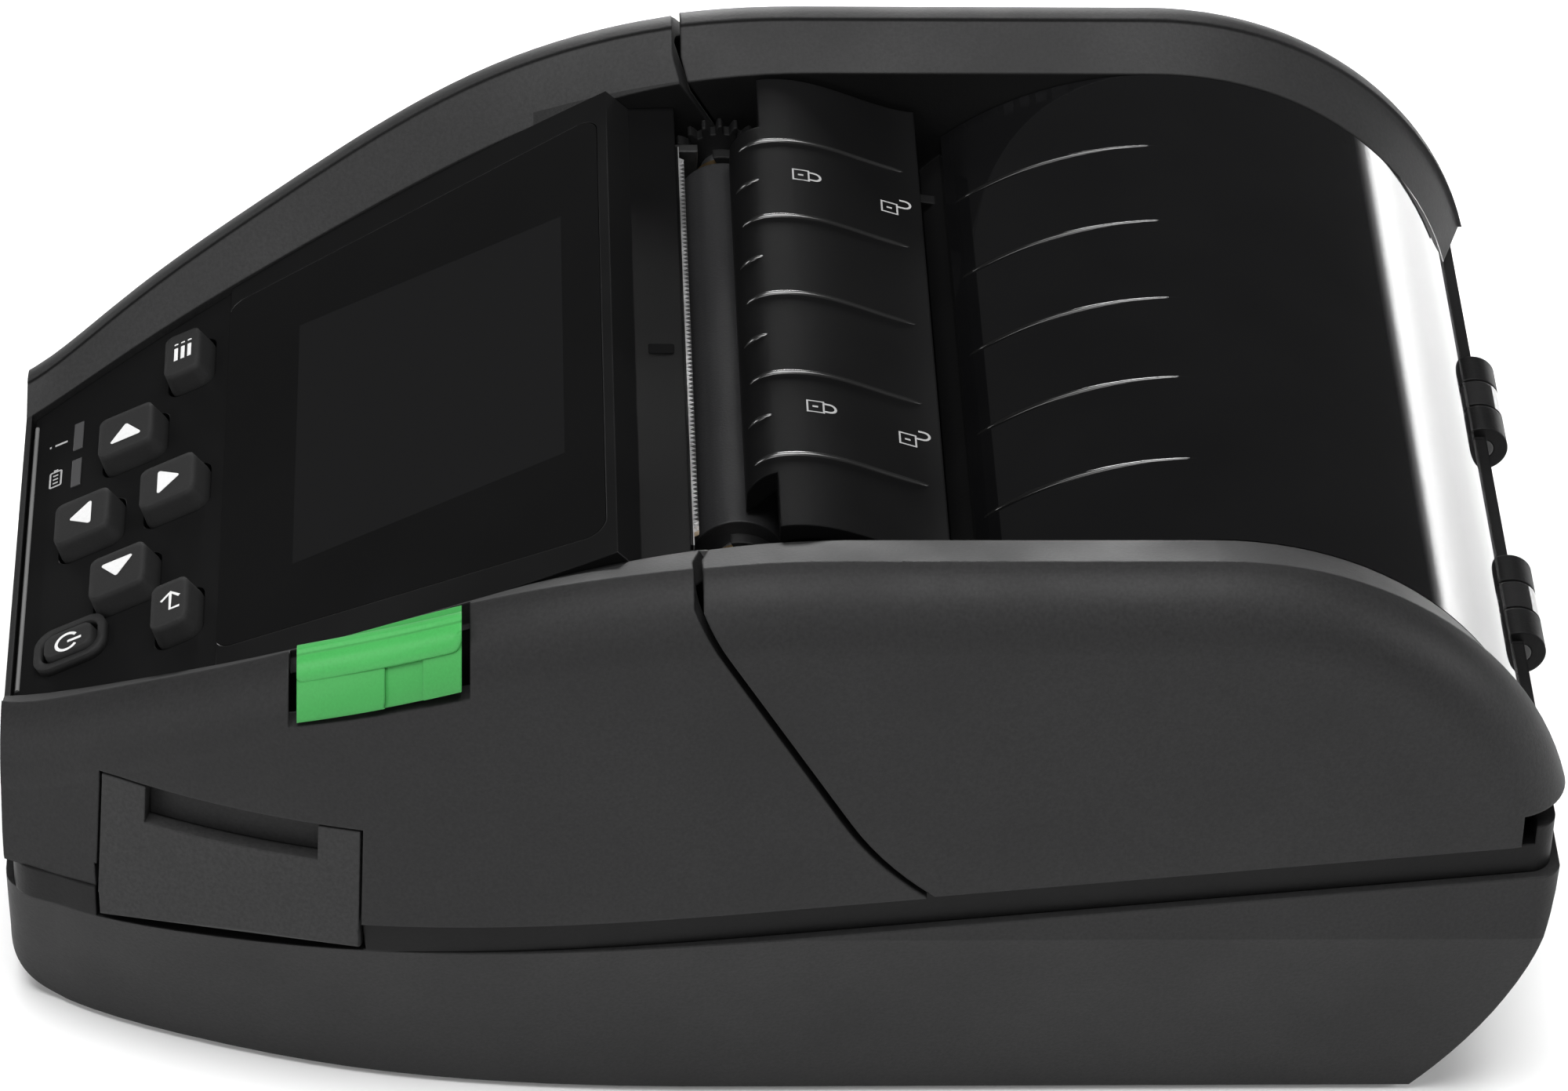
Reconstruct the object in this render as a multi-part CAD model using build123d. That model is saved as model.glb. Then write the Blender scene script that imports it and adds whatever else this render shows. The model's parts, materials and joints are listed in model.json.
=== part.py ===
"""Portable label printer for two-inch labels, as an assembly of separate pieces.

Lower casing, middle chassis, front housing with display and keys, hinged lid with a
tinted window, platen roller and peel flap, and the print works and media guides inside.

Millimetres. +Z up, the keypad end at -Y, the lid hinge at +Y, the user's right at +X.
The origin is at floor level under the middle of the footprint."""

import math
import os

from build123d import *

os.makedirs("parts", exist_ok=True)

# Overall size
width = 103.0                 # across the lip of the lower casing
front_y = -76.9               # front face
rear_y = 75.4                 # rear face; the hinge stands out behind it
height = 67.5                 # crest of the lid rails

# Lip line between lower casing and chassis, and rim line between chassis and upper casings
lip_height = 25.2             # lip height at Y = 0
lip_slope = 0.11              # rise of both lines towards the rear
band_height = 3.9             # visible height of the chassis band
band_inset = 0.9              # how far the band stands back from the casings
seat_gap = 0.3                # clearance between neighbouring casings

# Plan outline
plan_start = -0.5             # the sides run straight behind this, and close in before it
plan_loss = 16.4              # half width lost at the front
plan_power = 2.8              # how late the sides close in
front_corner = 5.0            # corner radius in plan, front
rear_corner = 2.0             # corner radius in plan, rear

# Lower casing
floor_half_width = width / 2 - 5.2   # half width at the bottom
heel_round = 59.0             # wide arc from the rear face down to the bottom
heel_top = 36.0               # where that arc starts
toe_round = 6.0               # radius between bottom and front face
tub_wall = 2.0
tub_floor = 1.8
foot_height = 0.8             # rubber strips stand this far below the bottom
foot_sink = 0.5               # and sit this deep in their grooves

# Lid and front housing crest and inner edge, seen from the side
crest_round = 85.5            # long arc over the seam
crest_level_y = 3.5           # where the crest becomes level
crest_fall = 30.2             # slope of the front part, degrees
inner_round = 75.8
inner_level_y = 5.5
inner_fall = 27.3
inner_height = 64.9           # inner edge of the rails
step_height = 0.4             # fine step between crest and inner face
shoulder = 6.2                # radius from crest to side wall
crest_half = width / 2 - 6.6  # half width at the step, on the lid
crest_loss = 19.1             # and how much of it is lost at the front
inner_half = width / 2 - 12.9 # half width at the rails' inner edge, on the lid
inner_loss = 16.2
rail_power = 2.25
wall = 2.2                    # wall of the upper casings
keypad_front_y = -74.6        # front end of the opening between the rails
keypad_lip_y = -76.3          # the keypad reaches over the front wall up to here

# Seam between front housing and lid, seen from the side
seam_y = -9.1
seam_kink_z = 64.8
seam_bend = (5.5, 40.2)       # end of the straight diagonal
seam_foot = (14.4, 30.4)      # where the curve reaches the rim
seam_gap = 0.9

# Label roll, its bay and the lid's window around it
roll_y = 40.5
roll_z = 31.0
window_radius = 33.9
window_wall = 1.8
window_front_y = 18.6
window_end_z = 43.5
crest_radius = 36.5
bay_radius = 26.8
bay_wall = 1.4
bay_half = inner_half - 3.6
fit_gap = 0.15                # between a piece and the edge that holds it

# Lid hinge
hinge_y = 74.2
hinge_z = 37.5
knuckle_r = 2.7
hinge_pin_r = 1.2
pin_fit = 0.05                # radial running clearance of pins and shafts
knuckle_pitch = 4.2
knuckle_gap = 0.3
knuckle_x = 16.5              # middle of each group of three knuckles
knuckle_clear = 3.1           # the lid stays this far from the hinge axis
rear_wall = 2.0               # wall of the chassis behind the hinge
ear_rise = 1.5                # its top above the hinge axis

# Chassis deck under the works
deck_thick = 1.6
deck_inset = 1.4
band_wall = 2.0
post_r = 4.0
screw_r = 1.25
screw_head = (2.6, 1.4)       # radius, height
screw_bite = 2.0              # how far screws reach above the deck
screw_rear_x = width / 2 - 11.1
screw_spots = ((screw_rear_x, 4.0), (-screw_rear_x, 4.0), (24.0, -67.0), (-24.0, -67.0))

# Display and keypad: one plane, tilted with the front slope
panel_tilt = 27.64
glass_front = (-55.5, 42.54)  # Y, Z of the glass's front edge
glass_length = 42.8           # along the slope
glass_rear_half = inner_half - 4.3
glass_front_half = inner_half - 10.7
glass_thick = 1.2
glass_corner = 2.0
bezel_thick = 3.2
bezel_rear = 1.2              # bezel behind the glass, before it falls to the ledge
ledge = (-14.2, -9.4, 59.6, 60.6)   # Y and Z range of the ledge over the tear bar
cheek_z = 59.0                # its thicker ends reach down to here
screen_centre = 24.0          # up the slope from the glass's front edge
screen_body = (43.0, 34.5, 4.0)
board_top = 5.2               # key board below the glass surface
board_thick = 1.2
board_end = 38.5              # its end up the slope
board_edge = 1.0
keypad_drop = 0.5             # keypad surface below the glass surface
keypad_thick = 2.0
keypad_length = 23.3
keypad_posts = ((27.2, 3.2), (-27.2, 3.2), (22.3, 12.4), (-22.3, 12.4))
keypad_post_r = 1.2
bezel_posts = ((29.5, 6.0), (-29.5, 6.0), (27.5, 36.5), (-27.5, 36.5))
board_posts = ((22.0, 8.0), (-22.0, 8.0), (27.0, -22.0), (-27.0, -22.0))
board_post_r = 2.0

# Keys: X, distance down the slope from the glass, width, length
keys = {
    "key_menu": (-20.7, 4.6, 7.4, 4.8),
    "key_return": (20.1, 4.6, 7.4, 4.8),
    "key_up": (0.0, 5.6, 7.0, 7.0),
    "key_left": (-11.4, 10.9, 7.0, 7.0),
    "key_right": (11.4, 10.9, 7.0, 7.0),
    "key_down": (0.0, 15.5, 7.0, 7.0),
    "key_power": (17.9, 16.8, 3.8, 5.8),
}
key_rise = 2.3                # caps above the keypad
power_rise = 1.2              # the power key stands lower, inside its ring
key_draft = 10.0              # slope of the caps' sides, degrees
key_clear = 0.35
key_flange = 0.5              # how far the flange under the panel reaches out
key_flange_thick = 1.0
key_corner = 1.3
ring_width = 0.8
ring_rise = 0.9
led_spots = ((-17.0, 17.9), (-10.9, 17.9))
led_size = (4.4, 1.1)
led_rise = 0.1

# Tear bar, platen roller and print head
platen_y = -4.6
platen_z = 55.4
platen_r = 4.5
frame_x = (inner_half - 5.8, inner_half - 4.6)   # side plates of the works
platen_half = frame_x[0] - 3.3
shaft_r = 2.0
bearing_r = 2.9
bearing_x = (frame_x[0] - 1.8, frame_x[0] - 0.4)
arm_r = 4.2
tear_y = -8.5
tear_half = frame_x[0] - 1.8
tear_rear_y = -16.0
tear_thick = 0.6
tooth_pitch = 0.67
tooth_height = 0.5
head_gap = 0.3
head_z = (50.5, 58.7)
head_thick = 1.6
sink_thick = 2.2
sink_z = 50.0
beam_y = (-16.0, -13.2)
beam_z = (50.0, 59.0)
beam_half = frame_x[1] + 0.2  # cheeks of the bezel start outside this
frame_y = (-22.0, -7.0)
frame_low_top = 50.0

# Peel flap, the ribbed bar of the lid
flap_front = (-3.9, 61.1)     # Y, Z of its front edge
flap_crown = ((-3.6, 63.2), (-1.9, 64.9), (0.6, 65.4), (7.1, 64.0))   # its top runs through
flap_rear = (15.5, 61.2)
flap_thick = 1.8
flap_nose = 1.2               # wall behind its rounded front edge
flap_pocket_y = -1.0          # its front corners stand back to here
flap_front_half = inner_half - 10.1
flap_rear_half = inner_half - 1.8
flap_axis = (9.5, 57.6)
flap_pin_r = 1.2
flap_ear = 2.2

# Drive gears: module, teeth and where they sit
gear_module = 0.5
platen_teeth = 20
idler_teeth = 24
pinion_teeth = 12
gear_x = (-frame_x[1] - 2.2, -frame_x[1] - 0.7)
gear_ease = 0.05              # added to each centre distance
backlash = 0.12               # taken off half a tooth, in modules
tooth_high = 0.85             # tooth above the pitch circle, in modules
tooth_deep = 1.15             # and below it
tooth_foot = 1.3              # its width at the root, in widths at the pitch circle
tooth_tip = 0.5               # width of a tooth's tip as a share of its width
idler_turn = 235.0            # direction from platen to idler in the YZ plane, degrees
pinion_turn = 225.0           # direction from idler to pinion
motor_r = 10.0
motor_length = 12.0
motor_shaft_r = 1.0
idler_post_r = 1.0

# Media guides, with racks and a pinion that centre them
guide_x = bay_half - 5.5
guide_thick = 2.0
guide_disc = 17.0
guide_hub = (9.0, 5.0)        # radius, length
rack_module = 0.8
rack_teeth = 12
rack_y = (4.5, 7.5)
rack_z = 38.0                 # pinion axis
rack_back = 2.0
module_root = 0.2             # teeth reach this far into the rack's back
rack_reach = 9.5              # how far each rack passes the middle
carrier_y = (2.0, 3.6)
carrier_top = 47.0
carrier_half = bay_half - 5.0
carrier_ledge = 0.8
moving_gap = 0.35             # between pieces that slide past each other

# Lid inside
rail_outer = width / 2 - 0.2  # half width over the lid
rib = 1.6                     # inner wall of the hollow rails
crossbar_y = (16.6, 20.5)
crossbar_bottom = 49.0
ledge_radius = 30.9           # ledges that carry the window
ledge_width = 1.8
rear_bar_radius = 29.5

# Green lid latch on the right shoulder
latch_y = (-48.0, -30.6)
latch_foot = (46.4, 53.7)     # height of the cut-out's lower edge at each end
latch_edge = 0.9              # its distance from the rail's inner edge
latch_gap = 0.8
latch_press_gap = 1.7         # towards the middle, where it moves when pressed
latch_thick = 2.4
hook_x = (width / 2 - 9.5, width / 2 - 8.1)
hook_y = (-40.5, 8.5)
hook_z = (40.0, 43.0)
riser_length = 2.4
striker = (hook_x[1] + 0.4, 6.5, 9.0)   # X of its free end, Y range

# Port door on the right side
door_origin = (width / 2 - 7.11, -54.5)   # X, Y on the wall
door_turn = 17.6              # the wall's turn from the Y axis, degrees
door_length = 27.2
door_lift = 0.4               # above the lip
door_top = 35.1               # in the middle of its upper edge
door_top_slope = 0.05         # which rises towards the rear
door_thick = 1.6
door_gap = 0.3
door_axis_in = 2.0            # hinge axis inside the wall's chord
door_round = 2.9              # the door's lower edge, round its axis
door_axis_up = door_lift + door_round   # axis above the lip
door_pin_r = 0.4
door_pin_in = 3.0             # each pin reaches this far into the door
door_pin_out = 1.6            # and this far into the chassis
door_barrel_r = 1.1           # barrel behind the door, between the pins
notch = (-8.8, 9.4, 4.0)      # ends along the door, depth
recess_overlap = 1.5          # finger recess behind the notch, wider than the notch
recess_wall = 1.2
port_depth = (5.4, 6.6)       # port plate behind the wall
port_usb = (-6.0, 9.0, 3.4, 5.0)    # place along the wall, width, height, depth
port_jack = (6.5, 9.0, 9.0, 5.0)
port_z = 28.5
port_plate_top = 33.5
port_shell = 0.5

# Battery
battery_size = (60.0, 46.0, 12.5)
battery_y = -36.0
cover_size = (66.0, 52.0)
cover_gap = 0.15
contact_size = (24.0, 2.0, 8.0)

# Main board, feet, sensor
board_size = (46.0, 30.0, 1.6)
main_board_y = -41.0
standoff = (20.5, 12.5, 1.6, 2.0)   # X, Y from the board's middle, radius, height
packages = ((0.0, -4.0, 14.0, 14.0, 1.4), (-14.0, 6.0, 8.0, 10.0, 2.2),
            (13.0, 8.0, 12.0, 6.0, 5.0), (-15.0, -8.0, 9.0, 9.0, 1.2),
            (14.0, -8.0, 6.0, 8.0, 3.0))   # X, Y from the board's middle, size, height
foot_x = (width / 2 - 14.5, width / 2 - 6.5)
foot_y = (-20.0, 52.5)
foot_front = (14.0, -70.0, -65.5)
sensor_size = (8.0, 4.0, 5.0)
sensor_place = (15.2, 24.5)

far = 200.0                   # half size of cutting blocks


def lip_z(y):
    """Height of the lower casing's lip."""
    return lip_height + lip_slope * y


def rim_z(y):
    """Height of the upper casings' lower edge."""
    return lip_z(y) + band_height


def closing(y, start, power):
    """0 behind the start, growing to 1 at the front face, for outlines that close in."""
    share = max(0.0, (start - y) / (start - front_y))
    return share ** power


def plan_half(y, rear_half=width / 2):
    """Half width of the outline at a given Y."""
    return rear_half - plan_loss * closing(y, plan_start, plan_power)


def crest_half_at(y):
    return crest_half - crest_loss * closing(y, plan_start, rail_power)


def inner_half_at(y):
    return inner_half - inner_loss * closing(y, plan_start, rail_power)


def falling(y, top, radius, level_y, fall):
    """A level line that bends down over an arc towards the front and goes on straight."""
    run = level_y - y
    arc_run = radius * math.sin(math.radians(fall))
    if run <= 0:
        return top
    if run <= arc_run:
        return top - radius + math.sqrt(radius ** 2 - run ** 2)
    arc_drop = radius * (1 - math.cos(math.radians(fall)))
    return top - arc_drop - (run - arc_run) * math.tan(math.radians(fall))


def crest_z(y):
    return falling(y, height, crest_round, crest_level_y, crest_fall)


def inner_z(y):
    return falling(y, inner_height, inner_round, inner_level_y, inner_fall)


def yz_face(points):
    """Closed polygon in the YZ plane, from (Y, Z) points."""
    return make_face(Polyline(*[(0, y, z) for y, z in points], close=True))


def along_x(face, x0, x1):
    """Prism of a YZ face from x0 to x1."""
    return extrude(Pos(x0, 0, 0) * face, amount=x1 - x0, dir=(1, 0, 0))


def box_between(low, high):
    """Box from its low corner to its high corner."""
    size = [b - a for a, b in zip(low, high)]
    middle = [(a + b) / 2 for a, b in zip(low, high)]
    return Pos(*middle) * Box(*size)


def above_line(level):
    """Everything above a sloping line given as a function of Y."""
    points = [(-far, level(-far)), (far, level(far)), (far, far), (-far, far)]
    return along_x(yz_face(points), -far, far)


def cylinder_x(radius, x0, x1, y, z):
    """Cylinder along X."""
    return Pos((x0 + x1) / 2, y, z) * Rot(0, 90, 0) * Cylinder(radius, x1 - x0)


def mirrored(shape):
    """The same shape on the other side."""
    return mirror(shape, about=Plane.YZ)


def seam_side(front, gap):
    """Region in front of the seam, or behind it, moved away from it by half the gap."""
    shift = -gap / 2 if front else gap / 2
    top = (0, seam_y + shift, far)
    kink = (0, seam_y + shift, seam_kink_z)
    bend = (0, seam_bend[0] + shift, seam_bend[1])
    foot = (0, seam_foot[0] + shift, seam_foot[1])
    edge = -far if front else far
    first = Line(top, kink)
    second = Line(kink, bend)
    third = TangentArc(bend, foot, tangent=second % 1)
    tail = Line(foot, (0, seam_foot[0] + 3 * band_height + shift, 0))
    back = Polyline(tail @ 1, (0, edge, 0), (0, edge, far), top)
    return along_x(make_face([first, second, third, tail, back]), -far, far)


def plan_outline(half, y_front, y_rear, loss_start, corner):
    """Plan outline as a closed wire: straight sides that close in towards the front."""
    steps = 5
    reach = loss_start - (y_front + corner)
    side = [(plan_half(loss_start - reach * i / steps, half), loss_start - reach * i / steps)
            for i in range(steps + 1)]
    front_x = side[-1][0] - corner
    right_side = Line((half, y_rear - rear_corner), (half, loss_start))
    right_curve = Spline(*side, tangents=((0, -1), (-0.55, -0.83)))
    right_front = Spline(side[-1], (front_x, y_front), tangents=((-0.55, -0.83), (-1, 0)))
    front = Line((front_x, y_front), (-front_x, y_front))
    left = [Line((-half, loss_start), (-half, y_rear - rear_corner))]
    left.append(Spline((-front_x, y_front), (-side[-1][0], side[-1][1]),
                       tangents=((-1, 0), (-0.55, 0.83))))
    left.append(Spline(*[(-x, y) for x, y in reversed(side)],
                       tangents=((-0.55, 0.83), (0, 1))))
    rear_left = RadiusArc((-half, y_rear - rear_corner), (-half + rear_corner, y_rear),
                          rear_corner)
    rear = Line((-half + rear_corner, y_rear), (half - rear_corner, y_rear))
    rear_right = RadiusArc((half - rear_corner, y_rear), (half, y_rear - rear_corner),
                           rear_corner)
    return make_face([right_side, right_curve, right_front, front, left[1], left[2],
                      left[0], rear_left, rear, rear_right])


def deck_z(y):
    """Top of the chassis deck."""
    return lip_z(y) + deck_thick


def plan_prism(inset):
    """Vertical prism of the lip outline, stood back by an inset."""
    face = plan_outline(width / 2 - inset, front_y + inset, rear_y - inset,
                        plan_start, front_corner)
    return extrude(face, amount=far)


def below_line(level):
    """Everything below a sloping line given as a function of Y."""
    points = [(-far, level(-far)), (far, level(far)), (far, -far), (-far, -far)]
    return along_x(yz_face(points), -far, far)


def sector_x(outer, inner, x0, x1):
    """Ring along X round the label roll's axis."""
    return cylinder_x(outer, x0, x1, roll_y, roll_z) - cylinder_x(inner, x0, x1, roll_y, roll_z)


def polar(centre, reach, degrees):
    """Point in the YZ plane at a distance and direction from another one."""
    turn = math.radians(degrees)
    return (centre[0] + reach * math.cos(turn), centre[1] + reach * math.sin(turn))


platen_axis = (platen_y, platen_z)
idler_reach = gear_module * (platen_teeth + idler_teeth) / 2 + gear_ease
pinion_reach = gear_module * (idler_teeth + pinion_teeth) / 2 + gear_ease
idler_axis = polar(platen_axis, idler_reach, idler_turn)
pinion_axis = polar(idler_axis, pinion_reach, pinion_turn)

panel = Plane(origin=(0, *glass_front), x_dir=(1, 0, 0),
              z_dir=(0, -math.sin(math.radians(panel_tilt)),
                     math.cos(math.radians(panel_tilt)))).location
door_frame = Pos(*door_origin, 0) * Rot(0, 0, -door_turn)


def panel_point(up, out):
    """Y, Z of a point up the slope from the glass's front edge, and out of its surface."""
    turn = math.radians(panel_tilt)
    return (glass_front[0] + up * math.cos(turn) - out * math.sin(turn),
            glass_front[1] + up * math.sin(turn) + out * math.cos(turn))


def panel_slab(low, high, start, end):
    """Slab parallel to the panel, between two depths and two distances up the slope."""
    points = [panel_point(start, low), panel_point(end, low),
              panel_point(end, high), panel_point(start, high)]
    return along_x(yz_face(points), -width / 2, width / 2)


def panel_box(x, up, size_x, size_up, low, high, corner=0.0):
    """Upright box on the panel, with rounded corners in its own plan."""
    if corner:
        face = RectangleRounded(size_x, size_up, corner)
    else:
        face = Rectangle(size_x, size_up)
    return panel * Pos(x, up, low) * extrude(face, amount=high - low)


def panel_post(x, up, radius, low, high):
    return panel * Pos(x, up, low) * extrude(Circle(radius), amount=high - low)


def tub_envelope(inset, floor_z):
    """Boat-shaped outside of the lower casing, or its inside with an inset."""
    low = plan_outline(floor_half_width - inset, front_y + inset, rear_y - inset,
                       plan_start, front_corner)
    high = plan_outline(width / 2 - inset, front_y + inset, rear_y - inset,
                        plan_start, front_corner)
    body = loft([Pos(0, 0, foot_height) * low, Pos(0, 0, lip_height) * high])
    body += extrude(Pos(0, 0, lip_height) * high, amount=band_height * 3)
    body &= above_line(lambda y: floor_z)
    heel_y = rear_y - heel_round
    heel = box_between((-far, heel_y, -far), (far, far, heel_top))
    heel -= cylinder_x(heel_round - inset, -far, far, heel_y, heel_top)
    toe_y = front_y + toe_round
    toe = box_between((-far, -far, -far), (far, toe_y, foot_height + toe_round))
    toe -= cylinder_x(toe_round - inset, -far, far, toe_y, foot_height + toe_round)
    return body - heel - toe


def opening_prism(gap, y0, y1):
    """Vertical prism that fills the opening between the rails, less a gap at its sides."""
    steps = 6
    ys = [y0 + (y1 - y0) * i / steps for i in range(steps + 1)]
    side = [(inner_half_at(y) - gap, y) for y in ys]
    other = [(-x, y) for x, y in reversed(side)]
    edges = [Spline(*side), Line(side[-1], other[0]), Spline(*other), Line(other[-1], side[0])]
    return extrude(make_face(edges), amount=far)


def rail_profile(inset, radius, top, level_y, arc_round, fall):
    """Side profile of the lid: level top, arc down at the rear, arc down at the front."""
    low = lip_height
    start = seam_y - band_height
    top_z = top - inset
    front_top = (0, start, falling(start, top, arc_round, level_y, fall) - inset)
    mid_y = (start + level_y) / 2
    mid = (0, mid_y, falling(mid_y, top, arc_round, level_y, fall) - inset)
    r = radius - inset
    diagonal = r * math.sin(math.pi / 4)
    return make_face([
        ThreePointArc(front_top, mid, (0, level_y, top_z)),
        Line((0, level_y, top_z), (0, roll_y, top_z)),
        ThreePointArc((0, roll_y, top_z), (0, roll_y + diagonal, roll_z + diagonal),
                      (0, roll_y + r, roll_z)),
        Line((0, roll_y + r, roll_z), (0, roll_y + r, low)),
        Line((0, roll_y + r, low), (0, start, low)),
        Line((0, start, low), front_top),
    ])


def crest_profile(inset):
    return rail_profile(inset, crest_radius, height, crest_level_y, crest_round, crest_fall)


def inner_profile(inset):
    return rail_profile(inset, window_radius, inner_height, inner_level_y, inner_round,
                        inner_fall)


def outer_section(y):
    """Cross-section of the front housing's outside at a given Y."""
    foot = plan_half(y)
    bottom = lip_z(y)
    step_x = crest_half_at(y)
    wall_x = step_x + shoulder
    crest = crest_z(y)
    inner_x = inner_half_at(y)
    inner = inner_z(y)
    points = [
        [(foot, bottom), (wall_x, crest - shoulder)],
        [(wall_x, crest - shoulder), (step_x, crest)],
        [(step_x, crest), (step_x, crest - step_height)],
        [(step_x, crest - step_height), (inner_x, inner)],
    ]
    edges = [Line((-foot, bottom), (foot, bottom))]
    edges.append(Line(*points[0]))
    edges.append(RadiusArc(*points[1], -shoulder))
    edges.append(Line(*points[2]))
    edges.append(Line(*points[3]))
    edges.append(Line((inner_x, inner), (-inner_x, inner)))
    left = [[(-x, z) for x, z in reversed(pair)] for pair in points]
    edges.append(Line(*left[3]))
    edges.append(Line(*left[2]))
    edges.append(RadiusArc(*left[1], -shoulder))
    edges.append(Line(*left[0]))
    return Plane(origin=(0, y, 0), x_dir=(1, 0, 0), z_dir=(0, -1, 0)) * make_face(edges)


def cavity_section(y):
    """Cross-section of the hollow inside the right rail of the front housing."""
    foot = plan_half(y) - wall
    bottom = lip_z(y) - wall
    step_x = crest_half_at(y)
    hollow_round = shoulder - wall
    wall_x = step_x + hollow_round
    crest = crest_z(y)
    rib_x = inner_half_at(y) + rib
    edges = [
        Line((rib_x, bottom), (foot, bottom)),
        Line((foot, bottom), (wall_x, crest - shoulder)),
        RadiusArc((wall_x, crest - shoulder), (step_x, crest - wall), -hollow_round),
        Line((step_x, crest - wall), (rib_x, inner_z(y) - wall)),
        Line((rib_x, inner_z(y) - wall), (rib_x, bottom)),
    ]
    return Plane(origin=(0, y, 0), x_dir=(1, 0, 0), z_dir=(0, -1, 0)) * make_face(edges)


def stations(start, end, count=8):
    return [start + (end - start) * i / count for i in range(count + 1)]


def housing_outside():
    """Outside of the front housing, past the seam and down to the lip."""
    body = loft([outer_section(y) for y in stations(front_y, seam_foot[0] + band_height)])
    return body & plan_prism(0)


def latch_region(side_gap, middle_gap):
    """Space of the latch's cut-out, or of the latch itself with gaps."""
    y0 = latch_y[0] + side_gap
    y1 = latch_y[1] - side_gap
    foot0 = latch_foot[0] + side_gap
    foot1 = latch_foot[1] + side_gap
    wedge = along_x(yz_face([(y0, foot0), (y1, foot1), (y1, far), (y0, far)]), 0, far)
    return wedge - opening_prism(-latch_edge - middle_gap, keypad_front_y, seam_y)


def door_region(gap):
    """Space of the port door through the housing's wall, with a gap all round."""
    space = door_frame * box_between((-port_depth[0], -door_length / 2 - gap, 0),
                                     (far / 10, door_length / 2 + gap, far))
    space &= below_line(lambda y: door_top + gap + door_top_slope * (y - door_origin[1]))
    return space & above_line(lambda y: lip_z(y) + door_lift - gap)


def behind_wall(depth):
    """Everything inside the front housing's outer face at the door, less a depth."""
    turn = math.radians(door_turn)
    return Pos(-depth * math.cos(turn), depth * math.sin(turn), 0) * housing_outside()


def make_base_tub():
    tub = tub_envelope(0, foot_height) & below_line(lip_z)
    posts = Part() + [screw_post(x, y) for x, y in screw_spots]
    tub -= tub_envelope(tub_wall, foot_height + tub_floor) - posts
    tub -= Pos(0, battery_y, 0) * Box(cover_size[0] + 2 * cover_gap,
                                      cover_size[1] + 2 * cover_gap, far / 20)
    for x, y in screw_spots:
        tub -= screw_hole(x, y)
    for foot in (make_foot_left(), make_foot_right(), make_foot_front()):
        tub -= foot
    return tub


def screw_post(x, y):
    return Pos(x, y, foot_height) * extrude(Circle(post_r), amount=lip_height * 2)


def screw_hole(x, y):
    """Clearance hole through a post, with a counterbore for the head."""
    hole = Pos(x, y, 0) * extrude(Circle(screw_r + pin_fit), amount=far)
    return hole + Pos(x, y, 0) * extrude(Circle(screw_head[0] + knuckle_gap),
                                         amount=foot_height + tub_floor + screw_head[1])


def make_screw(x, y):
    seat = foot_height + tub_floor + screw_head[1]
    head = Pos(x, y, seat - screw_head[1]) * extrude(Circle(screw_head[0]),
                                                     amount=screw_head[1])
    reach = deck_z(y) + screw_bite - seat
    return head + Pos(x, y, seat) * extrude(Circle(screw_r), amount=reach)


def foot_strip(x0, x1, y0, y1):
    return box_between((x0, y0, 0), (x1, y1, foot_height + foot_sink))


def make_foot_right():
    return foot_strip(foot_x[0], foot_x[1], foot_y[0], foot_y[1])


def make_foot_left():
    return mirrored(make_foot_right())


def make_foot_front():
    return foot_strip(-foot_front[0], foot_front[0], foot_front[1], foot_front[2])


def make_battery_cover():
    plate = box_between((-cover_size[0] / 2, battery_y - cover_size[1] / 2, foot_height),
                        (cover_size[0] / 2, battery_y + cover_size[1] / 2,
                         foot_height + tub_floor))
    return plate


def make_battery_pack():
    z0 = foot_height + tub_floor
    pack = Pos(0, battery_y, z0) * extrude(RectangleRounded(battery_size[0], battery_size[1], 3),
                                           amount=battery_size[2])
    return pack


def make_battery_contacts():
    z0 = foot_height + tub_floor
    y1 = battery_y - battery_size[1] / 2
    return box_between((-contact_size[0] / 2, y1 - contact_size[1], z0),
                       (contact_size[0] / 2, y1, z0 + contact_size[2]))


def knuckle_span(index):
    """X range of one knuckle in a group of three, index -1, 0 or 1."""
    middle = index * knuckle_pitch
    half = (knuckle_pitch - knuckle_gap) / 2
    return (middle - half, middle + half)


def knuckle_groups():
    return (-knuckle_x, knuckle_x)


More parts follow.
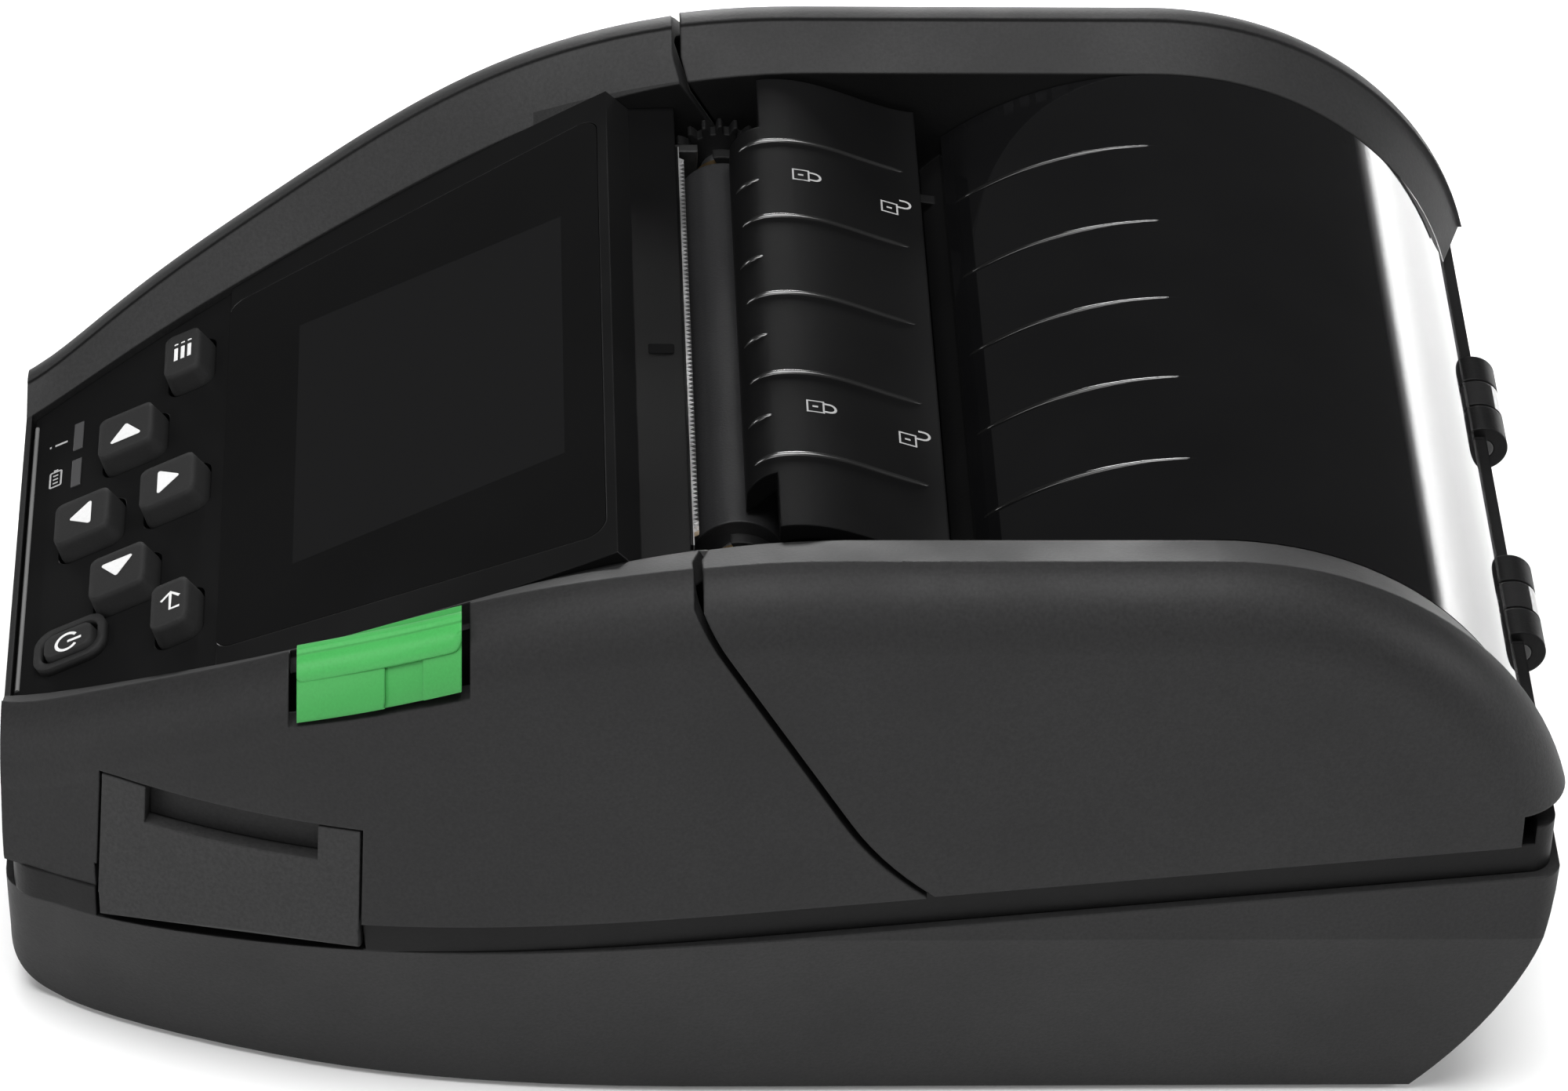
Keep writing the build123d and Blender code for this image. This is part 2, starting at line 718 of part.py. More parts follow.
def make_mid_chassis():
    lid_part = box_between((-far, seam_foot[0], -far), (far, far, far))
    lowered = lid_part & above_line(lambda y: rim_z(y) - seat_gap)
    band = (plan_prism(band_inset) & above_line(lip_z)) & below_line(rim_z)
    band -= plan_prism(band_inset + band_wall)
    band -= lowered
    deck = (plan_prism(deck_inset) & above_line(lip_z)) & below_line(deck_z)
    bay = box_between((-bay_half - 2 * bay_wall, roll_y - bay_radius - 2 * bay_wall, 0),
                      (bay_half + 2 * bay_wall, roll_y + bay_radius + 2 * bay_wall, far))
    chassis = band + (deck - bay)
    wall_y = rear_y - band_inset
    ear = box_between((-far, wall_y - rear_wall, 0), (far, wall_y, hinge_z + ear_rise))
    chassis += ear & plan_prism(band_inset) & above_line(lip_z)
    for group in knuckle_groups():
        for index in (-1, 1):
            x0, x1 = knuckle_span(index)
            chassis += cylinder_x(knuckle_r, group + x0, group + x1, hinge_y, hinge_z)
        x0, x1 = knuckle_span(0)
        chassis -= box_between((group + x0 - knuckle_gap, hinge_y - far / 40,
                                hinge_z - knuckle_clear),
                               (group + x1 + knuckle_gap, far, far))
        pin = knuckle_span(1)[1]
        chassis -= cylinder_x(hinge_pin_r, group - pin, group + pin, hinge_y, hinge_z)
    for x, y in screw_spots:
        boss = Pos(x, y, 0) * extrude(Circle(post_r), amount=deck_z(y) + screw_bite)
        chassis += boss & above_line(lip_z) & below_line(lambda v: rim_z(v) - seat_gap)
        chassis -= Pos(x, y, 0) * extrude(Circle(screw_r), amount=deck_z(y) + screw_bite)
    under_board = yz_face([panel_point(-far / 4, -board_top - board_thick),
                           panel_point(far / 4, -board_top - board_thick),
                           (far / 4, 0), (-far, 0)])
    for x, up in board_posts:
        y = panel_point(-up, -board_top)[0]
        post = Pos(x, y, 0) * extrude(Circle(board_post_r), amount=far)
        chassis += post & above_line(lip_z) & along_x(under_board, -far, far)
    dx, dy, radius, rise = standoff
    for side_x in (-dx, dx):
        for side_y in (-dy, dy):
            y = main_board_y + side_y
            post = Pos(side_x, y, 0) * extrude(Circle(radius), amount=far)
            chassis += post & above_line(lip_z) & below_line(lambda v: deck_z(v) + rise)
    chassis -= door_cut()
    for side in (-1, 1):
        chassis -= door_bar(door_pin_r, *door_pin_span(side))
    return chassis


def door_cut():
    """Opening in band and housing for the port door and its swing."""
    swing = door_bar(door_round + door_gap, -door_length / 2 - door_gap,
                     door_length / 2 + door_gap)
    return door_region(door_gap) + swing


def finger_recess():
    """Wall behind the door's notch, joined to the housing above the door."""
    gap = door_gap
    y0 = notch[0] - recess_overlap
    y1 = notch[1] + recess_overlap
    low = door_top - notch[2] - recess_overlap
    high = door_top + 2 * recess_overlap
    shell = behind_wall(door_thick + gap) - behind_wall(door_thick + gap + recess_wall)
    return shell & (door_frame * box_between((-port_depth[0], y0, low), (far / 10, y1, high)))


def make_front_housing():
    body = housing_outside()
    body &= above_line(rim_z)
    body &= seam_side(True, seam_gap)
    start = front_y + wall
    hollow = loft([cavity_section(y) for y in stations(start, seam_foot[0] + band_height)])
    body -= hollow
    body -= mirrored(hollow)
    body -= opening_prism(0, keypad_front_y, seam_foot[0] + band_height)
    lip = opening_prism(0, keypad_lip_y, keypad_front_y + fit_gap)
    body -= lip & panel_slab(-keypad_drop - keypad_thick, far, -far, 0)
    body -= latch_region(0, 0)
    body -= door_cut()
    return body + finger_recess()


def latch_core():
    """Everything deeper than the latch's own thickness."""
    return Pos(-latch_thick, 0, -latch_thick) * housing_outside()


def make_latch_button():
    """Green press piece that follows rail and shoulder."""
    return (housing_outside() & latch_region(latch_gap, latch_press_gap)) - latch_core()


def make_latch_hook():
    """Flat bar from the latch back to the lid, with a riser to the press piece."""
    bar = box_between((hook_x[0], hook_y[0], hook_z[0]), (hook_x[1], hook_y[1], hook_z[1]))
    riser = box_between((hook_x[0], hook_y[0], hook_z[0]),
                        (hook_x[1], hook_y[0] + riser_length, far))
    return bar + (riser & latch_core())


def port_place(along, wide, high, low, deep0, deep1):
    """Box behind the port door: place along the wall, size, height and depth range."""
    return door_frame * box_between((-deep1, along - wide / 2, low),
                                    (-deep0, along + wide / 2, low + high))


def make_usb_port():
    along, wide, high, deep = port_usb
    shell = port_place(along, wide, high, port_z - high / 2, port_depth[0] - door_gap,
                       port_depth[0] + deep)
    mouth = port_place(along, wide - 2 * port_shell, high - 2 * port_shell,
                       port_z - high / 2 + port_shell, 0, port_depth[0] + deep / 2)
    return shell - mouth


def make_dc_jack():
    along, wide, high, deep = port_jack
    body = port_place(along, wide, high, port_z - high / 2, port_depth[0],
                      port_depth[0] + deep)
    middle = door_frame * Pos(-port_depth[0] - deep / 4, along, port_z) * Rot(0, 90, 0)
    bore = middle * Cylinder(high / 3, deep)
    pin = middle * Cylinder(high / 9, deep)
    return (body - bore) + (pin & body)


def make_port_plate():
    plate = door_frame * box_between((-port_depth[1], -door_length / 2 + door_thick, 0),
                                     (-port_depth[0], door_length / 2 - door_thick,
                                      port_plate_top))
    plate &= above_line(deck_z)
    for along, wide, high, deep in (port_usb, port_jack):
        plate -= port_place(along, wide, high, port_z - high / 2, 0, 2 * port_depth[1])
    return plate


def door_bar(radius, y0, y1):
    """Cylinder on the door's hinge axis, between two places along the door."""
    rise = math.degrees(math.atan(lip_slope * math.cos(math.radians(door_turn))))
    axis = door_frame * Pos(-door_axis_in, 0, lip_z(door_origin[1]) + door_axis_up)
    middle = axis * Rot(rise, 0, 0) * Pos(0, (y0 + y1) / 2, 0) * Rot(90, 0, 0)
    return middle * Cylinder(radius, y1 - y0)


def door_pin_span(side):
    """Ends of a hinge pin along the door."""
    inner = door_length / 2 - door_pin_in
    outer = door_length / 2 + door_gap + door_pin_out
    return sorted((side * inner, side * outer))


def make_port_door():
    """Door that follows the wall, with a barrel round its hinge axis."""
    door = (housing_outside() & door_region(0)) - behind_wall(door_thick) - notch_space()
    lower = door & below_line(lambda y: lip_z(y) + door_axis_up)
    rounded = lower & door_bar(door_round, -door_length / 2, door_length / 2)
    barrel_end = door_length / 2 - door_thick
    door = (door - lower) + rounded + door_bar(door_barrel_r, -barrel_end, barrel_end)
    for side in (-1, 1):
        door -= door_bar(door_pin_r + pin_fit, *door_pin_span(side))
    return door


def make_door_pin(side):
    return door_bar(door_pin_r, *door_pin_span(side))


def notch_space():
    """Finger notch in the door's upper edge."""
    floor = below_line(lambda y: door_top - notch[2] + door_top_slope * (y - door_origin[1]))
    column = door_frame * box_between((-port_depth[0], notch[0], 0), (far / 10, notch[1], far))
    return column - floor


def make_keypad_panel():
    plate = panel_slab(-keypad_drop - keypad_thick, -keypad_drop, -keypad_length, -fit_gap)
    plate &= opening_prism(fit_gap, keypad_lip_y + fit_gap, seam_y)
    for x, down, wide, long in keys.values():
        plate -= panel_box(x, -down, wide + 2 * key_clear, long + 2 * key_clear,
                           -2 * keypad_thick, keypad_thick, key_corner + key_clear)
    for x, down in led_spots:
        plate -= panel_box(x, -down, *led_size, -2 * keypad_thick, keypad_thick)
    for x, down in keypad_posts:
        plate += panel_post(x, -down, keypad_post_r, -board_top, -keypad_drop - keypad_thick)
    return plate


def make_power_ring():
    x, down, wide, long = keys["key_power"]
    outer = panel_box(x, -down, wide + 2 * ring_width + 2 * key_clear,
                      long + 2 * ring_width + 2 * key_clear, -keypad_drop,
                      ring_rise - keypad_drop, key_corner + ring_width)
    inner = panel_box(x, -down, wide + 2 * key_clear, long + 2 * key_clear, -keypad_thick,
                      keypad_thick, key_corner + key_clear)
    return outer - inner


def make_key(name):
    """Key cap with a flange under the panel."""
    x, down, wide, long = keys[name]
    rise = power_rise if name == "key_power" else key_rise
    flange_top = -keypad_drop - keypad_thick - moving_gap
    stem = panel_box(x, -down, wide, long, flange_top, -keypad_drop, key_corner)
    cap = panel * Pos(x, -down, -keypad_drop) * extrude(
        RectangleRounded(wide, long, key_corner), amount=rise, taper=key_draft)
    flange = panel_box(x, -down, wide + 2 * key_flange, long + 2 * key_flange,
                       flange_top - key_flange_thick, flange_top, key_corner)
    return stem + cap + flange


def make_status_leds():
    """Two light bars, set in slots of the keypad."""
    return Part() + [
        panel_box(x, -down, *led_size, -keypad_drop - keypad_thick, led_rise - keypad_drop)
        for x, down in led_spots]


def make_key_board():
    plate = panel_slab(-board_top - board_thick, -board_top, -keypad_length, board_end)
    return plate & opening_prism(board_edge, keypad_front_y + board_edge, seam_y)


def glass_face(gap):
    rear = glass_rear_half + gap
    front = glass_front_half + gap
    low = -gap
    high = glass_length + gap
    face = make_face(Polyline((-front, low), (front, low), (rear, high), (-rear, high),
                              close=True))
    return fillet(face.vertices(), glass_corner)


def make_display_glass():
    return panel * Pos(0, 0, -glass_thick) * extrude(glass_face(0), amount=glass_thick)


def make_lcd_module():
    size_x, size_up, thick = screen_body
    return panel_box(0, screen_centre, size_x, size_up, -glass_thick - thick, -glass_thick)


def make_display_bezel():
    y0, y1, z0, z1 = ledge
    points = [panel_point(0, 0), panel_point(glass_length + bezel_rear, 0), (y0, z1),
              (y1, z1), (y1, z0), (beam_y[0] - fit_gap, z0),
              panel_point(screen_centre + screen_body[1] / 2 + fit_gap, -bezel_thick),
              panel_point(0, -bezel_thick)]
    body = along_x(yz_face(points), -far, far)
    cheek = box_between((beam_half + fit_gap, y0, cheek_z), (far, y1, z1))
    body += cheek + mirrored(cheek)
    body &= opening_prism(fit_gap, keypad_front_y, y1 + fit_gap)
    body -= panel * Pos(0, 0, -glass_thick) * extrude(glass_face(fit_gap / 2), amount=far)
    size_x, size_up, thick = screen_body
    body -= panel_box(0, screen_centre, size_x + 2 * fit_gap, size_up + 2 * fit_gap,
                      -glass_thick - thick, 0)
    for x, up in bezel_posts:
        body += panel_post(x, up, keypad_post_r, -board_top, -bezel_thick)
    return body


def make_main_board():
    """Main board on its standoffs, with the packages on top of it."""
    plate = Pos(0, main_board_y, 0) * extrude(Rectangle(*board_size[:2]), amount=far)
    rise = standoff[3]
    board = plate & above_line(lambda y: deck_z(y) + rise)
    board &= below_line(lambda y: deck_z(y) + rise + board_size[2])
    top = above_line(lambda y: deck_z(y) + rise + board_size[2])
    for x, y, wide, long, high in packages:
        level = deck_z(main_board_y + y) + rise + board_size[2] + high
        package = Pos(x, main_board_y + y, 0) * extrude(Rectangle(wide, long), amount=level)
        board += package & top
    return board


def make_media_bay():
    wall_x = bay_half + bay_wall
    trough = cylinder_x(bay_radius + bay_wall, -wall_x, wall_x, roll_y, roll_z)
    flange_y = bay_radius + 3 * bay_wall
    flange = box_between((-wall_x - 2 * bay_wall, roll_y - flange_y, 0),
                         (wall_x + 2 * bay_wall, roll_y + flange_y, far))
    flange &= above_line(deck_z)
    hollow = cylinder_x(bay_radius, -bay_half, bay_half, roll_y, roll_z)
    hollow += box_between((-bay_half, roll_y - bay_radius, roll_z),
                          (bay_half, roll_y + bay_radius, far))
    return ((trough + flange) & below_line(lambda y: deck_z(y) + bay_wall)) - hollow


def make_gap_sensor():
    y, z = sensor_place
    block = Pos(0, y, z) * Box(*sensor_size)
    return block & cylinder_x(bay_radius, -bay_half, bay_half, roll_y, roll_z)


def tooth_shape(pitch_r, teeth, module):
    """One tooth standing on its gear's root circle, pointing along +Y of its sketch."""
    half_pitch = math.pi * module / 4 - backlash * module
    tip = pitch_r + tooth_high * module
    root = pitch_r - tooth_deep * module
    points = [(-tooth_foot * half_pitch, root - module / 4), (tooth_foot * half_pitch, root - module / 4),
              (half_pitch, pitch_r), (tooth_tip * half_pitch, tip),
              (-tooth_tip * half_pitch, tip), (-half_pitch, pitch_r)]
    return make_face(Polyline(*points, close=True))


def gear_face(teeth, module, bore, phase):
    """Spur gear outline; phase is the direction of its first tooth in degrees."""
    pitch_r = teeth * module / 2
    tooth = tooth_shape(pitch_r, teeth, module)
    face = Circle(pitch_r - tooth_deep * module)
    for i in range(teeth):
        face += Rot(0, 0, phase - 90 + 360 * i / teeth) * tooth
    return face - Circle(bore)


def gear_x_shape(centre, teeth, bore, phase):
    """Drive gear in the YZ plane, turning about X."""
    face = gear_face(teeth, gear_module, bore, phase)
    plane = Plane(origin=(gear_x[0], *centre), x_dir=(0, 1, 0), z_dir=(1, 0, 0))
    return plane * extrude(face, amount=gear_x[1] - gear_x[0])


def make_platen_gear():
    return gear_x_shape(platen_axis, platen_teeth, shaft_r, idler_turn)


def make_idler_gear():
    phase = idler_turn + 180 + 180 / idler_teeth
    return gear_x_shape(idler_axis, idler_teeth, idler_post_r + pin_fit, phase)


def make_motor_pinion():
    """Pinion and its shaft, turned so that one tooth stands in a gap of the idler."""
    first_idler = idler_turn + 180 + 180 / idler_teeth
    gap_offset = (pinion_turn - first_idler) / (360 / idler_teeth) - 0.5
    phase = pinion_turn + 180 + (gap_offset % 1) * 360 / pinion_teeth
    shaft = cylinder_x(motor_shaft_r, gear_x[0], -frame_x[0], *pinion_axis)
    return gear_x_shape(pinion_axis, pinion_teeth, motor_shaft_r / 2, phase) + shaft


def make_platen_roller():
    return cylinder_x(platen_r, -platen_half, platen_half, *platen_axis) - cylinder_x(
        shaft_r, -platen_half, platen_half, *platen_axis)


def make_platen_shaft():
    return cylinder_x(shaft_r, gear_x[0], bearing_x[1] + shaft_r, *platen_axis)


def make_bearing(side):
    x0, x1 = sorted((side * bearing_x[0], side * bearing_x[1]))
    ring = cylinder_x(bearing_r, x0, x1, *platen_axis)
    return ring - cylinder_x(shaft_r + pin_fit, x0, x1, *platen_axis)


def make_print_frame():
    """Two side plates and the beam that carries head and tear bar."""
    y0, y1 = frame_y
    outline = [(y0, 0), (y1, 0), (y1, beam_z[1]), (beam_y[0], beam_z[1]),
               (beam_y[0], frame_low_top), (y0, frame_low_top)]
    plate = along_x(yz_face(outline), *frame_x)
    plates = plate + mirrored(plate)
    plates &= above_line(deck_z)
    beam = box_between((-frame_x[0], beam_y[0], beam_z[0]),
                       (frame_x[0], beam_y[1], beam_z[1]))
    post = cylinder_x(idler_post_r, gear_x[0], -frame_x[1], *idler_axis)
    hole = cylinder_x(motor_shaft_r + moving_gap, -frame_x[1], -frame_x[0], *pinion_axis)
    return (plates + beam + post) - hole


def make_stepper_motor():
    x0 = -frame_x[0]
    can = cylinder_x(motor_r, x0, x0 + motor_length, *pinion_axis)
    return can


def make_print_head():
    face = platen_y - platen_r - head_gap
    return box_between((-tear_half, face - head_thick, head_z[0]),
                       (tear_half, face, head_z[1]))


def make_head_heatsink():
    """Finned block behind the head, screwed between the side plates."""
    face = platen_y - platen_r - head_gap - head_thick
    block = box_between((-frame_x[0], face - sink_thick, sink_z), (frame_x[0], face, head_z[1]))
    return block


def make_tear_bar():
    """Thin steel bar with a saw edge."""
    tooth_count = int(2 * tear_half / tooth_pitch)
    start = -tooth_count * tooth_pitch / 2
    edge = []
    for i in range(tooth_count):
        x = start + i * tooth_pitch
        edge.append((x, tear_y - tooth_height))
        edge.append((x + tooth_pitch / 2, tear_y))
    edge.append((start + tooth_count * tooth_pitch, tear_y - tooth_height))
    edge.append((frame_x[0], tear_y - tooth_height))
    edge.append((frame_x[0], tear_rear_y))
    edge.append((-frame_x[0], tear_rear_y))
    edge.append((-frame_x[0], tear_y - tooth_height))
    face = make_face(Polyline(*edge, close=True))
    return Pos(0, 0, beam_z[1]) * extrude(face, amount=tear_thick)


def rack_strip(x0, x1, pointing):
    """Rack along X; its teeth point down to the pinion or up to it."""
    pitch_r = rack_module * rack_teeth / 2
    pitch = math.pi * rack_module
    tip = pitch_r - tooth_high * rack_module
    root = pitch_r + tooth_deep * rack_module
    half_pitch = pitch / 4 - backlash * rack_module
    strip = Pos((x0 + x1) / 2, root + rack_back / 2) * Rectangle(x1 - x0, rack_back)
    first = math.ceil(x0 / pitch + 0.5)
    last = math.floor(x1 / pitch - 0.5)
    for i in range(first, last):
        middle = (i + 0.5) * pitch
        points = [(middle - 1.3 * half_pitch, root + module_root),
                  (middle + 1.3 * half_pitch, root + module_root),
                  (middle + half_pitch, pitch_r), (middle + tooth_tip * half_pitch, tip),
                  (middle - tooth_tip * half_pitch, tip), (middle - half_pitch, pitch_r)]
        strip += make_face(Polyline(*points, close=True))
    if pointing < 0:
        strip = mirror(strip, about=Plane.XZ)
    plane = Plane(origin=(0, rack_y[1], rack_z), x_dir=(1, 0, 0), z_dir=(0, -1, 0))
    return plane * extrude(strip, amount=rack_y[1] - rack_y[0])


def make_guide(side):
    """Disc guide with a hub, its arm and its rack. Side -1 is the left one."""
    x0, x1 = sorted((side * guide_x, side * (guide_x + guide_thick)))
    disc = cylinder_x(guide_disc, x0, x1, roll_y, roll_z)
    hub_x0, hub_x1 = sorted((side * guide_x, side * (guide_x - guide_hub[1])))
    disc += cylinder_x(guide_hub[0], hub_x0, hub_x1, roll_y, roll_z)
    root = rack_module * rack_teeth / 2 + tooth_deep * rack_module
    arm_z0 = rack_z - side * root - (rack_back if side > 0 else 0)
    arm = box_between((x0, rack_y[0], arm_z0), (x1, roll_y - guide_disc / 2, arm_z0 + rack_back))
    ends = sorted((side * (guide_x + guide_thick), -side * rack_reach))
    return disc + arm + rack_strip(*ends, -side)


def make_guide_pinion():
    face = gear_face(rack_teeth, rack_module, hinge_pin_r + pin_fit, 90)
    plane = Plane(origin=(0, rack_y[1], rack_z), x_dir=(1, 0, 0), z_dir=(0, -1, 0))
    return plane * extrude(face, amount=rack_y[1] - rack_y[0])


def make_guide_carrier():
    """Plate behind the racks, with a ledge above and below them and the pinion's pin."""
    plate = box_between((-carrier_half, carrier_y[0], 0),
                        (carrier_half, carrier_y[1], carrier_top)) & above_line(deck_z)
    root = rack_module * rack_teeth / 2 + tooth_deep * rack_module + rack_back + moving_gap
    for low in (rack_z - root - carrier_ledge, rack_z + root):
        plate += box_between((-carrier_half + guide_thick, carrier_y[1], low),
                             (carrier_half - guide_thick, rack_y[1], low + carrier_ledge))
    pin = Pos(0, (carrier_y[1] + rack_y[1]) / 2, rack_z) * Rot(90, 0, 0) * Cylinder(
        hinge_pin_r, rack_y[1] - carrier_y[1])
    return plate + pin


def make_lid_frame():
    outer = along_x(crest_profile(0), crest_half, rail_outer)
    rounded = [edge for edge in outer.edges()
               if abs(edge.center().X - rail_outer) < fit_gap
               and edge.center().Z > lip_height + fit_gap
               and edge.center().Y > seam_y - band_height + fit_gap]
    outer = fillet(rounded, shoulder)
    slope = loft([Pos(inner_half, 0, 0) * inner_profile(0),
                  Pos(crest_half, 0, 0) * crest_profile(step_height)], ruled=True)
    rail = outer + slope
    rail -= along_x(inner_profile(wall), inner_half + rib, rail_outer - wall)
    rail += box_between((striker[0], striker[1], hook_z[0]),
                        (rail_outer - wall, striker[2], hook_z[1]))
    arm = make_platen_arm()
    side_ledge = sector_x(window_radius - window_wall, ledge_radius,
                          inner_half - ledge_width, inner_half + rib / 2)
    side_ledge &= box_between((0, window_front_y, lip_height), (far, far, far))
    rail += arm + side_ledge
    lid = rail + mirrored(rail)
    bar = box_between((-inner_half - rib / 2, crossbar_y[0], crossbar_bottom),
                      (inner_half + rib / 2, crossbar_y[1], far))
    lid += bar & cylinder_x(window_radius - window_wall, -far, far, roll_y, roll_z)
    rear = sector_x(window_radius, rear_bar_radius, -inner_half - rib / 2,
                    inner_half + rib / 2)
    lid += rear & box_between((-far, roll_y, lip_height), (far, far, window_end_z))
    lid &= above_line(rim_z)
    lid &= seam_side(False, seam_gap)
    lid -= box_between((-far, hinge_y - knuckle_clear, -far),
                       (far, far, hinge_z + knuckle_clear))
    for group in knuckle_groups():
        x0, x1 = knuckle_span(0)
        web = box_between((group + x0, hinge_y - knuckle_clear - wall, hinge_z),
                          (group + x1, hinge_y, window_end_z))
        web &= cylinder_x(window_radius, -far, far, roll_y, roll_z)
        knuckle = cylinder_x(knuckle_r, group + x0, group + x1, hinge_y, hinge_z)
        bore = cylinder_x(hinge_pin_r + pin_fit, group + x0, group + x1, hinge_y, hinge_z)
        lid += web + knuckle
        lid -= bore
    for side in (-1, 1):
        x0, x1 = sorted((side * bearing_x[0], side * bearing_x[1]))
        lid -= cylinder_x(bearing_r, x0, x1, *platen_axis)
        x0, x1 = sorted((side * flap_rear_half, side * (inner_half + rib)))
        lid -= cylinder_x(flap_pin_r + pin_fit, x0, x1, *flap_axis)
    return lid


def make_platen_arm():
    """Arm from the crossbar forward to the platen's bearing."""
    low = platen_z - arm_r
    outline = yz_face([(platen_y, low), (crossbar_y[1], crossbar_bottom),
                       (crossbar_y[1], crossbar_bottom + arm_r),
                       (platen_y, platen_z + arm_r / 2)])
    return along_x(outline, *bearing_x) + cylinder_x(arm_r, *bearing_x, *platen_axis)


def make_lid_window():
    shell = sector_x(window_radius, window_radius - window_wall,
                     -inner_half + fit_gap, inner_half - fit_gap)
    front = box_between((-far, window_front_y, lip_height), (far, roll_y, far))
    back = box_between((-far, roll_y, window_end_z), (far, far, far))
    return shell & (front + back)


def flap_section(low):
    """Side profile of the flap's plate, or all below its top."""
    front, rear = flap_front, flap_rear
    top = Spline(front, *flap_crown, rear)
    if low is None:
        under = Spline((rear[0], rear[1] - flap_thick),
                       *[(y + flap_nose, z - flap_thick) for y, z in reversed(flap_crown)],
                       (front[0], front[1] - flap_thick / 2))
    else:
        under = Line((rear[0], low), (front[0], low))
    rear_end = Line(top @ 1, under @ 0)
    front_end = Line(under @ 1, top @ 0)
    return Plane.YZ * make_face([top, rear_end, under, front_end])


def make_peel_flap():
    """Bent plate with two ears underneath that turn on pins in the lid's rails."""
    y0 = flap_front[0]
    y2, z2 = flap_rear
    plate = along_x(flap_section(None), -flap_rear_half, flap_rear_half)
    plan = make_face(Polyline((-flap_front_half, y0), (flap_front_half, y0),
                              (flap_front_half, flap_pocket_y), (flap_rear_half, flap_pocket_y),
                              (flap_rear_half, y2), (-flap_rear_half, y2),
                              (-flap_rear_half, flap_pocket_y),
                              (-flap_front_half, flap_pocket_y), close=True))
    plate &= extrude(plan, amount=far)
    ay, az = flap_axis
    ear = along_x(yz_face([(ay - flap_ear, az), (ay + flap_ear, az),
                           (ay + flap_ear, z2 + flap_thick), (ay - flap_ear, z2 + flap_thick)]),
                  flap_rear_half - flap_ear, flap_rear_half)
    ear += cylinder_x(flap_ear, flap_rear_half - flap_ear, flap_rear_half, ay, az)
    pin = cylinder_x(flap_pin_r, flap_rear_half, inner_half + rib - fit_gap, ay, az)
    ear &= along_x(flap_section(0), 0, far)
    side = ear + pin
    return plate + side + mirrored(side)


def make_hinge_pin(group):
    pin = knuckle_span(1)[1]
    return cylinder_x(hinge_pin_r, group - pin, group + pin, hinge_y, hinge_z)


makers = {
    "base_tub": make_base_tub,
    "mid_chassis": make_mid_chassis,
    "front_housing": make_front_housing,
    "keypad_panel": make_keypad_panel,
    "display_bezel": make_display_bezel,
    "display_glass": make_display_glass,
    "lcd_module": make_lcd_module,
    "key_board": make_key_board,
    "power_ring": make_power_ring,
    "status_leds": make_status_leds,
    "latch_button": make_latch_button,
    "latch_hook": make_latch_hook,
    "port_door": make_port_door,
    "door_pin_front": lambda: make_door_pin(-1),
    "door_pin_rear": lambda: make_door_pin(1),
    "port_plate": make_port_plate,
    "usb_port": make_usb_port,
    "dc_jack": make_dc_jack,
    "main_board": make_main_board,
    "battery_pack": make_battery_pack,
    "battery_contacts": make_battery_contacts,
    "battery_cover": make_battery_cover,
    "lid_frame": make_lid_frame,
    "lid_window": make_lid_window,
    "peel_flap": make_peel_flap,
    "platen_roller": make_platen_roller,
    "platen_shaft": make_platen_shaft,
    "platen_gear": make_platen_gear,
    "platen_bearing_left": lambda: make_bearing(-1),
    "platen_bearing_right": lambda: make_bearing(1),
    "print_frame": make_print_frame,
    "print_head": make_print_head,
    "head_heatsink": make_head_heatsink,
    "tear_bar": make_tear_bar,
    "stepper_motor": make_stepper_motor,
    "motor_pinion": make_motor_pinion,
    "idler_gear": make_idler_gear,
    "media_bay": make_media_bay,
    "gap_sensor": make_gap_sensor,
    "guide_left": lambda: make_guide(-1),
    "guide_right": lambda: make_guide(1),
    "guide_pinion": make_guide_pinion,
    "guide_carrier": make_guide_carrier,
    "hinge_pin_left": lambda: make_hinge_pin(-knuckle_x),
    "hinge_pin_right": lambda: make_hinge_pin(knuckle_x),
    "foot_left": make_foot_left,
    "foot_right": make_foot_right,
    "foot_front": make_foot_front,
}
for key in keys:
    makers[key] = lambda key=key: make_key(key)
for number, spot in enumerate(screw_spots, start=1):
    makers[f"case_screw_{number}"] = lambda spot=spot: make_screw(*spot)

for name, make in makers.items():
    export_step(make(), f"parts/{name}.step")
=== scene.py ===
"""Looks of the portable label printer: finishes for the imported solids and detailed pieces.

Metres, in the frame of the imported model. +X is the user's right, the keypad is at -Y.
Named places and sizes are in millimetres, and in metres where MM is worked in or a comment
says so."""

import json
import math

import bpy
from mathutils import Matrix, Vector
from mathutils.bvhtree import BVHTree


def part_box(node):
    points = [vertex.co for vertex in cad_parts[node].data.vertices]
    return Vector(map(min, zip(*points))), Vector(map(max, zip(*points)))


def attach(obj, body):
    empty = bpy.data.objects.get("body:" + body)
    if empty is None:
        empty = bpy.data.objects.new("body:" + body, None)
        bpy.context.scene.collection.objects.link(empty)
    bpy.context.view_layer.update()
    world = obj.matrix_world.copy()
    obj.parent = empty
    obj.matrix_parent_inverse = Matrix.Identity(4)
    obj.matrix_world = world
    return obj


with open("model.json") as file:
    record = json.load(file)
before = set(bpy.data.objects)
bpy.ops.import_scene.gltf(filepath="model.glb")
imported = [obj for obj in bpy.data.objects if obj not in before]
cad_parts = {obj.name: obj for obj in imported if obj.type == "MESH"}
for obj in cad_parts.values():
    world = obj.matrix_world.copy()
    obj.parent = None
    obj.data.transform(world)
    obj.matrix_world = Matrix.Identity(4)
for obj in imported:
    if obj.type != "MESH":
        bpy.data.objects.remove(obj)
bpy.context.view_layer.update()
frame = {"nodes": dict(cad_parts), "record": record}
nodes = frame["nodes"]

MM = 0.001
IMAGE_SIZE = (2000, 1391)

